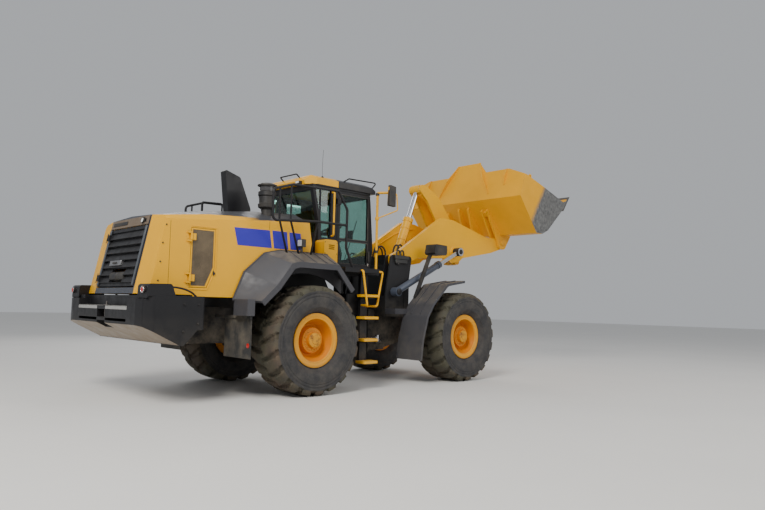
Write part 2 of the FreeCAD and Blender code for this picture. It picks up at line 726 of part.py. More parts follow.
def counterweight():
    half = counter_half
    rear = counter_rear
    front = counter_front
    plan = [(rear, -half + 220, 60), (rear + 30, -half + 60, 40), (rear + 150, -half, 60), (front, -half, 40), (front, -440),
            (frame_rear - gap, -440), (frame_rear - gap, 440), (front, 440), (front, half, 40), (rear + 150, half, 60),
            (rear + 30, half - 60, 40), (rear, half - 220, 60)]
    mass = deck(plan, 800, hood_foot)
    slope = slab([(rear - 150, 780), (rear + 500, 780), (rear + 500, 806), (rear - 10, 1064), (rear - 150, 1064)],
                 -half - 50, half + 50)
    chin = slab([(rear + 550, 780), (front + 100, 780), (front + 100, 1000), (front - 100, 1000)], -half - 50, half + 50)
    recess = block(rear - 50, hood_rear_low[0] - 6, -pad_inner, pad_inner, tow_high, 1500)
    shelf = block(rear - 50, rear + 80, -half - 50, half + 50, 1393, 1500)
    pocket = block(rear - 50, tow_x + 60, -140, 140, 700, tow_low)
    slot = block(rear - 50, rear + 220, -140, 140, tow_low + 45, tow_high - 45)
    # hollows under the ledge, with the sloped plate left as their floor
    hollows = [slab([(rear - 50, 1128), (rear - 50, 1112), (rear + 20, 1085), (rear + 350, 915), (rear + 350, 1128)],
                    *sorted((s * 150, s * (pad_inner - 20)))) for s in (-1, 1)]
    tow_hole = post(tow_x, 0, tow_radius, 700, 1500)
    towers = []
    for sign in (-1, 1):
        tower = slab([(rear + 80, hood_foot - 10), (rear + 50, 1400), (rear + 56, 1583, 40), (rear + 375, 1590, 40),
                      (rear + 434, hood_foot - 10)], *sorted((sign * tower_inner, sign * (half - 5))))
        towers.append(tower)
    mass = less(mass, [slope, chin, recess, shelf, pocket, slot, tow_hole] + hollows)
    return joined([mass] + towers)


def on_line(low, high, z):
    # x on the line from low to high, both (x, z), at height z
    return low[0] + (high[0] - low[0]) * (z - low[1]) / (high[1] - low[1])


def hinge_pair(spot, toward, outward):
    # door hinge with its pin at spot; toward points to the leaf, outward off the panel
    offset, reach = hinge_off, 60
    local = FreeCAD.Placement(V(*spot), FreeCAD.Rotation(toward, outward, toward.cross(outward), "XYZ"))
    wire = Part.makeCylinder(hinge_wire, 2 * knuckle_half + 50, V(0, 0, -knuckle_half - 25))
    fixed = [wire]
    for z in (-knuckle_half - 25, knuckle_half + 1):
        fixed.append(Part.makeBox(reach, offset + hinge_wire, 24, V(-reach, -offset, z)))
    arm = Part.makeBox(reach, offset + hinge_wire, 2 * knuckle_half, V(0, -offset, -knuckle_half))
    ring = Part.makeCylinder(knuckle, 2 * knuckle_half, V(0, 0, -knuckle_half))
    hole = Part.makeCylinder(hinge_wire + gap, 2 * knuckle_half + 2, V(0, 0, -knuckle_half - 1))
    moving = less(joined([arm, ring]), [hole])
    fixed = joined(fixed)
    for shape in (fixed, moving):
        shape.Placement = local
    return fixed, moving


def hinges(kind, sign):
    # hinge halves (fixed, moving) of each door, top and bottom
    if kind == "grille":
        slope = V(hood_rear_high[0] - hood_rear_low[0], 0, hood_rear_high[1] - hood_rear_low[1]).normalize()
        out = V(-slope.z, 0, slope.x)
        pairs = []
        for z in (grille_low + 120, grille_high - 120):
            x = on_line(hood_rear_low, hood_rear_high, z)
            spot = V(x, grille_half - running / 2, z) + out * hinge_off
            pairs.append(hinge_pair(spot, V(0, -1, 0), out))
        return pairs
    if kind == "mesh":
        x, y, heights = mesh_rear + running / 2, hood_half, (mesh_low + 130, mesh_high - 130)
    else:
        x, y, heights = door_hinge + running / 2, cab_half, (cab_floor + 260, door_top - 200)
    return [hinge_pair((x, sign * (y + hinge_off), z), V(1, 0, 0), V(0, sign, 0)) for z in heights]


def hood_shell():
    half = hood_half
    front = hood_front
    under = slab([(-4700, 1200), (-4700, hood_lip), (frame_rear, hood_lip), (frame_rear, hood_foot), (-2640, hood_foot),
                  (-2250, 1990), (-1800, 1990), (front + 74, 2218), (front, 2640), (front, 3000), (front + 400, 3000),
                  (front + 400, 1200)], -half - 50, half + 50)
    outer = less(hood_form(0), [under])
    inside = hood_form(hood_wall)
    end = slab([(front - hood_wall, 1900), (front - hood_wall, 3000), (front + 400, 3000), (front + 400, 1900)],
               -half, half)
    inside = less(inside, [end])
    grille_bay = block(-4700, -3960, -grille_half, grille_half, grille_low - 3 * running, grille_high + running)
    mesh_bays = [slab(mesh_outline(0), *sorted((s * (half - 60), s * (half + 60)))) for s in (-1, 1)]
    shell = less(outer, [inside, grille_bay] + mesh_bays)
    fixed = [pair[0] for kind, s in (("grille", 1), ("mesh", 1), ("mesh", -1)) for pair in hinges(kind, s)]
    return joined([shell] + fixed)


def grille_door():
    # follows the rear slope of the hood; its louvres overlap like clapboards
    half = grille_half - running
    foot = V(on_line(hood_rear_low, hood_rear_high, grille_low), 0, grille_low)
    head = V(on_line(hood_rear_low, hood_rear_high, grille_high), 0, grille_high)
    way = (head - foot).normalize()
    inward = V(way.z, 0, -way.x)
    reach = (head - foot).Length
    step = (reach - 2 * louvre_margin) / louvre_count
    skin = [foot, foot + way * louvre_margin]
    for i in range(louvre_count):
        base = foot + way * (louvre_margin + i * step)
        skin += [base - inward * louvre_proud, base + way * step + inward * louvre_proud]
    skin += [foot + way * (reach - louvre_margin), head, head + inward * door_thick, foot + inward * door_thick]
    plate = slab([(p.x, p.z) for p in skin], -half + 60, half - 60)
    flat = slab([(p.x, p.z) for p in (foot, head, head + inward * door_thick, foot + inward * door_thick)], -half, half)
    core = slab([(p.x, p.z) for p in (foot + way * louvre_margin - inward * 60, head - way * louvre_margin - inward * 60,
                                      head - way * louvre_margin + inward * (door_thick + 9),
                                      foot + way * louvre_margin + inward * (door_thick + 9))], -half + 60, half - 60)
    frame = less(flat, [core])
    # opening for the fan's pipes near the foot
    window = block(foot.x - 200, foot.x + 300, -louvre_window, louvre_window, grille_low + 60, grille_low + 60 + 190)
    leaf = less(joined([frame, plate]), [window])
    return joined([leaf] + [pair[1] for pair in hinges("grille", 1)])


def mesh_door(sign):
    outer = sign * hood_half
    leaf = slab(mesh_outline(running), *sorted((outer - sign * hood_wall, outer)))
    pane = slab(mesh_outline(running + 50), *sorted((outer - sign * 18, outer + sign * 10)))
    return joined([less(leaf, [pane])] + [pair[1] for pair in hinges("mesh", sign)])


def rear_fenders():
    # the top rises from its outer edge to the inner one; a web closes it towards the hood
    rings = []
    for y, profile in ((fender_inner, fender_inner_line), (fender_half, fender_outer_line)):
        under = offset_path(profile, -fender_plate)
        points = [V(x, y, z) for x, z in profile + list(reversed(under))]
        rings.append(Part.makePolygon(points + [points[0]]))
    skin = Part.makeLoft(rings, True, True)
    axle_x = -wheelbase / 2
    web = slab(fender_inner_line + [(axle_x + 725, 1560), (axle_x - 1255, 1380)], fender_inner, fender_inner + 25)
    web = less(web, [pin((axle_x, tyre_radius), tyre_radius + 190, fender_inner - 10, fender_inner + 40),
                     block(axle_x - 1425, axle_x - 825, fender_inner - 10, fender_inner + 40, 1000, 1400)])
    lip = slab(fender_outer_line + list(reversed(offset_path(fender_outer_line, -fender_plate - 45))),
               fender_half - 30, fender_half)
    drop = block(axle_x - 1235, axle_x - 1115, fender_inner + 5, fender_half - 20, flap_top, 1420)
    whole = joined([skin, web, lip, drop])
    return apart([whole, mirrored(whole)])


def mud_flaps():
    front = -wheelbase / 2 - tyre_radius - flap_behind_tyre
    flap = block(front - 15, front, rear_rail_half + 260, fender_half - 65, flap_low, flap_top - gap)
    hanger = block(front - 35, front, rear_rail_half + gap, fender_half - 60, flap_top - 40, flap_top - gap)
    whole = joined([flap, hanger])
    return apart([whole, mirrored(whole)])


# Cab

def cab_deck():
    side = fender_inner - running
    plate = deck([(-2250, -side), (wing_root, -side), (wing_rear, -wing_half), (wing_front, -wing_half, 60),
                  (wing_front, -1000, 40), (-60, -950, 40), (-60, 950, 40), (wing_front, 1000, 40),
                  (wing_front, wing_half, 60), (wing_rear, wing_half), (wing_root, side),
                  (-2250, side)], deck_low, cab_floor)
    legs = [block(x - 60, x + 60, s * (rear_rail_half - 60) - 60, s * (rear_rail_half - 60) + 60, rail_top, deck_low)
            for x in (-1500, -500) for s in (-1, 1)]
    return joined([plate] + legs)


def cab_shell():
    x, z = cab_rear_high
    inset = cab_wall
    outer = slab([(cab_rear, cab_floor), (cab_rear, cab_knee), (x, z), (x - 12, cab_top), (cab_front - 90, cab_top),
                  (cab_front, 2350, 60), (cab_front - 60, cab_floor)], -cab_half, cab_half)
    inner = slab([(cab_rear + inset, cab_floor + inset), (cab_rear + inset, cab_knee), (x + inset, z),
                  (x + inset - 12, cab_top + 30), (cab_front - 90 - inset, cab_top + 30), (cab_front - inset, 2350),
                  (cab_front - 60 - inset, cab_floor + inset)], -cab_half + inset, cab_half - inset)
    doors = [block(door_hinge, door_front, *sorted((s * (cab_half - 100), s * (cab_half + 100))), cab_floor + 40, door_top)
             for s in (-1, 1)]
    windows = [slab(side_window, *sorted((s * (cab_half - 100), s * (cab_half + 100)))) for s in (-1, 1)]
    windows.append(block(-300, 0, -window_half, window_half, 2200, window_high))
    windows.append(block(x - 100, cab_rear + inset + 40, -window_half, window_half, window_low, window_high))
    shell = less(outer, [inner] + doors + windows)
    return joined([shell] + [pair[0] for s in (-1, 1) for pair in hinges("cab", s)])


def cab_roof():
    # low box with its top edges and its rear corners bevelled
    top = slab([(roof_rear, cab_top), (roof_rear - 10, 3420, 20), (roof_rear + 60, roof_top, 60),
                (cab_front - 150, roof_top, 60), (cab_front + 20, cab_top + 60, 20), (cab_front + 20, cab_top)],
               -roof_edge, roof_edge)
    cuts = []
    for s in (-1, 1):
        edge = s * (roof_edge + 5)
        cuts.append(wall([(edge, roof_top - 50), (s * (roof_edge - 115), roof_top + 5), (edge, roof_top + 5)],
                         roof_rear - 50, 100))
        cuts.append(deck([(roof_rear - 50, s * 600), (roof_rear - 50, edge), (roof_rear + 130, edge)], 3300, 3600))
    return less(top, cuts)


def cab_glass():
    mid = cab_half - cab_wall / 2
    panes = [slab(side_window, s * mid - glass_thick / 2, s * mid + glass_thick / 2) for s in (-1, 1)]
    # windscreen, bent at the belt, and the rear pane, bent at the knee
    near = cab_wall / 2
    slope = (cab_rear_high[0] - cab_rear) / (cab_rear_high[1] - cab_knee)
    head = cab_rear + slope * (window_high - cab_knee)
    for bend in ([(cab_rear + near, window_low), (cab_rear + near, cab_knee), (head + near, window_high)],
                 [(cab_front - 90 - near, window_high), (cab_front - near, 2350), (cab_front - near - 24, 2200)]):
        back = [(x + glass_thick, z) for x, z in reversed(bend)]
        panes.append(slab(bend + back, -window_half, window_half))
    return apart(panes)


def cab_door(sign):
    y0, y1 = sorted((sign * (cab_half - door_thick), sign * cab_half))
    low = cab_floor + 40 + running
    high = door_top - running
    leaf = block(door_hinge + running, door_front - running, y0, y1, low, high)
    # the pane's lower edge and the rail above it
    upper = block(door_hinge + 70, door_front - 60, y0 - 1, y1 + 1, door_rail + 25, high - 60)
    lower = block(door_hinge + 70, door_front - 60, y0 - 1, y1 + 1, low + 60, door_rail - 25)
    return joined([less(leaf, [upper, lower])] + [pair[1] for pair in hinges("cab", sign)])


def door_glass(sign):
    mid = sign * (cab_half - door_thick / 2)
    low = cab_floor + 100 + running
    return apart([block(door_hinge + 70, door_front - 60, mid - glass_thick / 2, mid + glass_thick / 2, z0, z1)
                  for z0, z1 in ((low, door_rail - 25), (door_rail + 25, door_top - 60 - running))])


def seat():
    base = turned([(0, 0), (0, 200), (90, 200), (120, 120), (270, 120), (270, 0)], (-690, 0, cab_floor + 60), (0, 0, 1))
    cushion = slab([(-930, 2305), (-430, 2305, 40), (-410, 2440, 60), (-880, 2415)], -260, 260)
    back = slab([(-930, 2305), (-800, 2400), (-920, 3000, 60), (-1040, 2985, 50)], -250, 250)
    rests = [slab([(-900, 2560, 20), (-540, 2590, 20), (-540, 2640, 20), (-900, 2620, 20)], *sorted((s * 255, s * 340)))
             for s in (-1, 1)]
    head = slab([(-1035, 2980), (-930, 2990, 30), (-950, 3190, 40), (-1040, 3180, 40)], -140, 140)
    return joined([base, cushion, back, head] + rests + [block(-900, -830, -340, 340, 2480, 2580)])


def steering_console():
    # column with a wheel that leans towards the seat
    foot = cab_floor + 60
    column = slab([(-330, foot), (-330, 2300), (-440, 2690), (-380, 2715), (-215, 2330), (-240, foot)], -90, 90)
    wheel = drum([(-14, 186), (-14, 214), (14, 214), (14, 186)], 20)
    wheel.rotate(V(0, 0, 0), V(1, 0, 0), 90)
    spokes = [bar((-195, 0, 0), (195, 0, 0), 12), bar((0, -195, 0), (0, 195, 0), 12), post(0, 0, 40, -60, 10)]
    wheel = joined([wheel] + spokes)
    wheel.rotate(V(0, 0, 0), V(0, 1, 0), -degrees(atan(0.5)))
    wheel.translate(V(-430, 0, 2740))
    return joined([column, wheel])


# Machinery and trim at the rear

def engine_block():
    return block(-3500, -2300, -330, 330, hood_foot, 2350)


def side_tanks():
    rear = -wheelbase / 2 + tyre_radius + 25
    tank = deck([(rear, rear_rail_half), (rear, 1080, 60), (-560, 1080, 60), (-560, rear_rail_half)], 960, 1560)
    return apart([tank, mirrored(tank)])


def exhaust_duct():
    rear, front = -2672, -2275
    foot = hood_crown(rear) - 8
    duct = slab([(rear, foot), (-2753, 3425, 12), (-2735, 3443, 12), (-2484, 3364, 60), (front, 2880, 80),
                 (front, foot)], -230, -80)
    return less(duct, [hood_form(-gap)])


def air_precleaner():
    x, y = -2300, 320 - hood_half
    foot = hood_crown(x) - 40
    bowl = [(0, 0), (0, 80), (70, 80), (100, 132), (150, 138), (165, 120), (270, 120), (285, 138), (340, 138), (385, 90),
            (385, 0)]
    return less(joined([post(x, y, 80, foot - 60, foot + 20), turned(bowl, (x, y, foot), (0, 0, 1))]), [hood_form(-gap)])


def ladders():
    rear, front = ladder_edges()
    parts = [deck([(rear, step_inner), (front, step_inner, 20), (front, step_outer, 30), (rear, step_outer, 30)], z, z + 42)
             for z in step_heights]
    return apart(parts + [mirrored(p) for p in parts])


def handrails():
    # platform rail on each side, low rails on the roof and a hoop on the hood
    y = fender_half - 98
    line = [(-1040, cab_floor - 12), (-1190, 2279), (-1186, 2891), (-1371, 3166), (-2250, 3147), (-2600, 3035),
            (-2600, 2574), (-2200, 2612), (-1742, 2640), (-1188, 2640)]
    rail = bent([(x, y, z) for x, z in line], 20, 70)
    uprights = [bar((x, y, z0), (x, y, z1), 15) for x, z0, z1 in ((-2484, 2586, 3075), (-2282, 2608, 3140),
                                                                 (-1743, 2640, 3155))]
    legs = []
    for x0, z0, x1 in ((-2478, 2586, -2176), (-2284, 2608, -1955), (-1777, 2638, -1725)):
        legs.append(bar((x0, y, z0), (x1, fender_inner + 70, fender_height(x1, fender_inner + 70) - 12), 16))
    under_foot = block(wing_rear, wing_front, y - 100, y + 100, deck_low, cab_floor + gap)
    whole = less(joined([rail] + uprights + legs), rear_fenders().Solids + [under_foot])
    whole = max(whole.Solids, key=lambda solid: solid.Volume)
    small = []
    for s in (-1, 1):
        small.append(bent([(-840, s * 760, roof_top - 60), (-660, s * 760, roof_top + 51), (-10, s * 760, roof_top + 67),
                           (-130, s * 760, roof_top - 60)], 12, 20))
    high = roof_top + 35
    small.append(bent([(roof_rear + 90, 20, roof_top - 60), (roof_rear - 20, 20, high), (roof_rear - 20, -450, high),
                       (roof_rear + 90, -450, roof_top - 60)], 12, 20))
    crown = hood_crown(-3000)
    small.append(bent([(-3140, -250, crown - 60), (-3140, -250, 2880), (-2800, -250, 2895), (-2800, -250, crown - 40)],
                      13, 30))
    ready = [less(rail, [cab_roof(), hood_form(-gap)]) for rail in small]
    return apart([whole, mirrored(whole)] + [max(cut.Solids, key=lambda solid: solid.Volume) for cut in ready])


def mirrors():
    mast = bent([(-102, 900, cab_floor + gap), (-102, 900, 3370), (20, 1090, 3370)], 22, 25)
    clamp = post(-102, 900, 36, 2885, 2935)
    head = slab([(-40, 3140, 20), (75, 3134, 20), (80, 3480, 30), (-25, 3496, 30)], 1085, 1120)
    hood = slab([(-15, 3130, 20), (105, 3124, 20), (110, 3470, 30), (0, 3486, 30)], 1120, 1150)
    loop_ = bent([(-102, 900, 2912), (160, 1150, 3066), (130, 1150, 3340), (60, 1120, 3400)], 11, 40)
    whole = joined([mast, clamp, head, hood, loop_])
    return apart([whole, mirrored(whole)])


# Front end

def front_fenders():
    outline = [(1706, 1882), (1206, 1801, 150), (810, 1431, 200), (662, 1203, 150), (540, 793, 200), (502, 432),
               (545, 432), (583, 780, 200), (700, 1180, 150), (845, 1400, 200), (1225, 1760, 150), (1706, 1838)]
    skin = slab(outline, 850, fender_half)
    # two ridges over the crown
    ridge = [(1650, 1873), (1212, 1802, 150), (816, 1434, 200), (690, 1243), (676, 1250), (800, 1446, 200),
             (1200, 1818, 150), (1650, 1889)]
    ridges = [slab(ridge, y, y + 26) for y in (1010, 1240)]
    arm = block(tower_rear, tower_rear + 40, arm_inner + arm_thick + running + tower_plate, 900, 1230, 1330)
    brace = block(tower_rear, 760, 850, 900, 1230, 1330)
    whole = joined([skin, arm, brace] + ridges)
    return apart([whole, mirrored(whole)])


def headlamps():
    # lamp box on an arm that leans forward from the fender
    arm = slab([(895, 1540), (1290, 2372), (1365, 2372), (975, 1560)], 868, 918)
    arm = less(arm, [slab([(700, 1300), (662, 1203), (810, 1431, 200), (1206, 1801 + gap, 150), (1706, 1882 + gap),
                           (1706, 1300)], 840, 940)])
    box_ = slab([(1271, 2400, 20), (1310, 2370, 20), (1600, 2370, 40), (1630, 2400, 20), (1630, 2560, 20), (1310, 2572, 30)],
                800, 1060)
    lens = [Part.makeCylinder(68, 14, V(1624, y, 2475), V(1, 0, 0)) for y in (870, 990)]
    whole = joined([max(arm.Solids, key=lambda solid: solid.Volume), box_] + lens)
    return apart([whole, mirrored(whole)])


def valve_block():
    foot = shelf_top + gap
    parts = [block(570, 890, -440, 440, foot, foot + 120),
             block(600, 800, -400, -130, foot + 100, foot + 190), block(600, 800, 130, 400, foot + 100, foot + 190),
             block(620, 860, -90, 90, foot + 100, foot + 160)]
    parts += [Part.makeCylinder(34, 60, V(890 - 10, y, foot + 60), V(1, 0, 0)) for y in (-360, -240, -120, 120, 240, 360)]
    return joined(parts)


def hood_form(inset):
    # closed body of the hood between crowned sections, drawn in by inset on every side
    rings = []
    for x, crown, top, crease in hood_sections:
        half = [(0, crown), (hood_flat, crown - 25), (hood_shoulder, top), (hood_half, crease), (hood_half, hood_bottom)]
        right = [(max(y - inset, 0), z - inset) for y, z in half]
        ring = [(-y, z) for y, z in right[1:]] + [(y, z) for y, z in reversed(right)]
        points = [V(x, y, z) for y, z in ring]
        rings.append(Part.makePolygon(points + [points[0]]))
    body = Part.makeLoft(rings, True, True)
    low, high = hood_rear_low, hood_rear_high
    lean = (high[0] - low[0]) / (high[1] - low[1])
    x0 = low[0] + inset

    def rear_x(z, y):
        # the rear face, and the facet that turns from it to the side
        return x0 + lean * (z - low[1]) + facet_turn * max(abs(y) - rear_half, 0)

    cuts = [slab([(x0 - 400, 1200), (rear_x(1200, 0), 1200), (rear_x(3000, 0), 3000), (x0 - 400, 3000)],
                 -hood_half - 50, hood_half + 50)]
    for s in (-1, 1):
        near, far = s * rear_half, s * (hood_half + 50)
        rings = []
        for z in (1200, 3000):
            points = [V(rear_x(z, near) - 1, near, z), V(rear_x(z, far), far, z), V(rear_x(z, far) - 400, far, z),
                      V(rear_x(z, near) - 400, near, z)]
            rings.append(Part.makePolygon(points + [points[0]]))
        cuts.append(Part.makeLoft(rings, True, True))
    return less(body, cuts)


def mesh_outline(inset):
    # door in the hood's side, as (x, z), with its lower front corner cut off
    rear, front = mesh_rear + inset, mesh_front - inset
    low, high = mesh_low + inset, mesh_high - inset
    return [(rear, low), (front - 110, low), (front, low + 260), (front, high), (rear, high)]


def hood_crown(x):
    # height of the hood's flat top at x
    for a, b in zip(hood_sections, hood_sections[1:]):
        if x <= b[0]:
            return on_height(a[0], a[1], b[0], b[1], x) - 25
    return hood_sections[-1][1] - 25


def on_height(x0, z0, x1, z1, x):
    return z0 + (z1 - z0) * (x - x0) / (x1 - x0)


def ladder_edges():
    # rear and front edge of the ladder, the rear one clear of the tyre
    return -wheelbase / 2 + tyre_radius + 165, -470


def ladder_posts():
    rear, front = ladder_edges()
    middle = (rear + front) / 2
    y0, y1 = step_inner - gap - 60, step_inner - gap
    post_ = block(middle - 75, middle + 75, y0, y1, step_heights[0] - 10, deck_low - gap)
    feet = [block(middle - 75, middle + 75, y0, step_outer - 40, z - 22 - gap, z - gap) for z in step_heights]
    whole = joined([post_] + feet)
    return apart([whole, mirrored(whole)])


def grab_rails():
    # rails beside each ladder and the upright one behind the door
    post_face = step_inner - gap
    rails = [bent([(-905, wing_half + gap, deck_low + 35), (-905, wing_half + 38, deck_low + 35),
                   (-800, wing_half + 38, 1375), (-665, post_face - 25, 1375)], 17, 30),
             bent([(wing_front + gap, 1330, deck_low + 38), (-345, 1330, deck_low + 38), (-463, 1330, 1364),
                   (-585, post_face - 25, 1364)], 17, 30),
             bent([(-1050, cab_half + gap, 3255), (-1050, cab_half + 55, 3255), (-1050, cab_half + 55, 2520),
                   (-1050, cab_half + gap, 2520)], 16, 30)]
    # the lower ends stop at the ladder's post
    rails = [less(rail, [block(-900, -300, post_face - 150, step_inner, 1200, 1500)]) for rail in rails]
    return apart(rails + [mirrored(rail) for rail in rails])


def side_boxes():
    # slotted air box beside the cab
    y0, y1 = cab_half + gap, fender_inner - 20
    low, rear, front = cab_floor + gap, -1386, -1105
    body = slab([(rear, low), (rear, 2395, 30), (rear + 40, 2424, 30), (front - 40, 2424, 30), (front, 2395, 30),
                 (front, low)], y0, y1)
    body = less(body, [block(-1290, -1170, y1 - 20, y1 + 10, z, z + 14) for z in (2270, 2300, 2330)])
    return apart([body, mirrored(body)])


def fender_height(x, y):
    # height of the rear fender's top at a place
    t = (y - fender_inner) / (fender_half - fender_inner)
    line = [(a[0] + (b[0] - a[0]) * t, a[1] + (b[1] - a[1]) * t) for a, b in zip(fender_inner_line, fender_outer_line)]
    for a, b in zip(line, line[1:]):
        if a[0] <= x <= b[0]:
            return on_height(a[0], a[1], b[0], b[1], x)
    return line[-1][1]


def rear_lamps():
    # round tail lamps on the counterweight, lamps on stalks on the fenders and a pair behind the roof
    face = counter_rear + 52
    lamps = []
    for s in (-1, 1):
        lamps.append(Part.makeCylinder(44, 26, V(face - 26 - gap, s * 1254, 1509), V(1, 0, 0)))
        foot = fender_height(-1885, 1110 - 18) + gap
        lamps.append(joined([post(-1885, s * 1110, 18, foot, 2260),
                             block(-1925, -1850, s * 1110 - 60, s * 1110 + 60, 2250, 2370)]))
        lamps.append(block(roof_rear - 70, roof_rear - 8.3 - gap, s * 540 - 50, s * 540 + 50, 3360, 3405))
    return apart(lamps)


def build():
    wheels()
    nodes["front_axle"] = axle(wheelbase / 2, front_rail_half - frame_plate / 2)
    nodes["rear_axle"] = axle(-wheelbase / 2, 0)
    nodes["rear_frame"] = rear_frame()
    nodes["front_frame"] = front_frame()
    nodes["boom"] = boom()
    nodes["bellcrank"] = bellcrank()
    nodes["bucket_link"] = bucket_link()
    nodes["bucket"] = bucket()
    nodes["cutting_edge"] = cutting_edge()
    cylinders()
    steering_cylinders()
    nodes["counterweight"] = counterweight()
    nodes["hood_shell"] = hood_shell()
    nodes["grille_door"] = grille_door()
    nodes["mesh_door_left"] = mesh_door(1)
    nodes["mesh_door_right"] = mesh_door(-1)
    nodes["rear_fenders"] = rear_fenders()
    nodes["mud_flaps"] = mud_flaps()
    nodes["cab_deck"] = cab_deck()
    nodes["cab_shell"] = cab_shell()
    nodes["cab_roof"] = cab_roof()
    nodes["cab_glass"] = cab_glass()
    for side, sign in (("left", 1), ("right", -1)):
        nodes[f"cab_door_{side}"] = cab_door(sign)
        nodes[f"door_glass_{side}"] = door_glass(sign)
    nodes["seat"] = seat()
    nodes["steering_console"] = steering_console()
    nodes["engine_block"] = engine_block()
    nodes["side_tanks"] = side_tanks()
    nodes["exhaust_duct"] = exhaust_duct()
    nodes["air_precleaner"] = air_precleaner()
    nodes["ladders"] = ladders()
    nodes["ladder_posts"] = ladder_posts()
    nodes["grab_rails"] = grab_rails()
    nodes["side_boxes"] = side_boxes()
    nodes["rear_lamps"] = rear_lamps()
    nodes["handrails"] = handrails()
    nodes["mirrors"] = mirrors()
    nodes["front_fenders"] = front_fenders()
    nodes["headlamps"] = headlamps()
    nodes["valve_block"] = valve_block()


def finish():
    # moves the origin under the middle of the machine's length and writes the files
    whole = Part.makeCompound(list(nodes.values())).BoundBox
    middle = (whole.XMin + whole.XMax) / 2
    os.makedirs("parts", exist_ok=True)
    for name, shape in nodes.items():
        moved = shape.copy()
        moved.translate(V(-middle, 0, 0))
        moved.exportStep(f"parts/{name}.step")
        print(f"{name}: {len(shape.Solids)} solids, valid {shape.isValid()}, {shape.Volume / 1e9:.3f} m3")
    print(f"size {whole.XLength:.0f} x {whole.YLength:.0f} x {whole.ZLength:.0f}, middle at x = {middle:.1f}")
    return middle


build()
middle_x = finish()
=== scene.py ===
import json
from math import sin, cos, pi, radians

import bpy
import bmesh
from mathutils import Vector, Matrix


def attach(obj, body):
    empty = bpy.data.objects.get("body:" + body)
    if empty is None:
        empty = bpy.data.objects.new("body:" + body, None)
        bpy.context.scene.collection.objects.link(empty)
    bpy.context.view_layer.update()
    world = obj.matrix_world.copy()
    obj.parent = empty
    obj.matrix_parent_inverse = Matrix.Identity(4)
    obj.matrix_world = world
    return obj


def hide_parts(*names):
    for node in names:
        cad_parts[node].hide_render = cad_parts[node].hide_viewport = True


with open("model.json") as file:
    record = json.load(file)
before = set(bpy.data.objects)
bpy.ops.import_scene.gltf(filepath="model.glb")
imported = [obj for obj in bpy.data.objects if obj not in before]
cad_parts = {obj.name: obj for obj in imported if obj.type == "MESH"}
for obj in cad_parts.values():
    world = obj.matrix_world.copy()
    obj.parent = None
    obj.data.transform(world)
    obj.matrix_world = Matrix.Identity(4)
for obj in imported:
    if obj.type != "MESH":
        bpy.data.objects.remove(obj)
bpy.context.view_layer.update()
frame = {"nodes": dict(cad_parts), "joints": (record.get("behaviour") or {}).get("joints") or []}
jointSpot = {j["name"]: Vector(j["pos_m"]) for j in frame["joints"] if "pos_m" in j}
hingeX = jointSpot["steering"].x  # the drawing's x = 0 is the steering hinge
sides = (("left", 1), ("right", -1))
xAxis, yAxis, zAxis = (1, 0, 0), (0, 1, 0), (0, 0, 1)
wheels = [(end, side, sign) for end in ("front", "rear") for side, sign in sides]


def spot(x, y, z):
    # millimetres from the steering hinge and the ground to metres in the frame
    return Vector((x / 1000 + hingeX, y / 1000, z / 1000))


def assign(target, **values):
    for key, value in values.items():
        setattr(target, key, value)
    return target


def addObject(name, data):
    made = bpy.data.objects.new(name, data)
    bpy.context.scene.collection.objects.link(made)
    return made


# Camera

cameraSetup = {"place": (-7790, -9060, 1365), "yaw": 43.86, "pitch": 4.6, "roll": 1.3,
               "view": {"lens": 30.02, "sensor_width": 36.0, "clip_start": 0.1, "clip_end": 120.0}}


def makeCamera(setup):
    yaw, pitch, roll = (radians(setup[k]) for k in ("yaw", "pitch", "roll"))
    ahead = Vector((sin(yaw) * cos(pitch), cos(yaw) * cos(pitch), sin(pitch)))
    right = ahead.cross(Vector((0, 0, 1))).normalized()
    up = right.cross(ahead)
    turnedRight = right * cos(roll) + up * sin(roll)
    turnedUp = up * cos(roll) - right * sin(roll)
    camera = addObject("photoCamera", assign(bpy.data.cameras.new("photoCamera"), **setup["view"]))
    placed = Matrix((turnedRight, turnedUp, -ahead)).transposed().to_4x4()
    placed.translation = spot(*setup["place"])
    camera.matrix_world = placed
    bpy.context.scene.camera = camera


makeCamera(cameraSetup)
print("camera placed")


# Materials

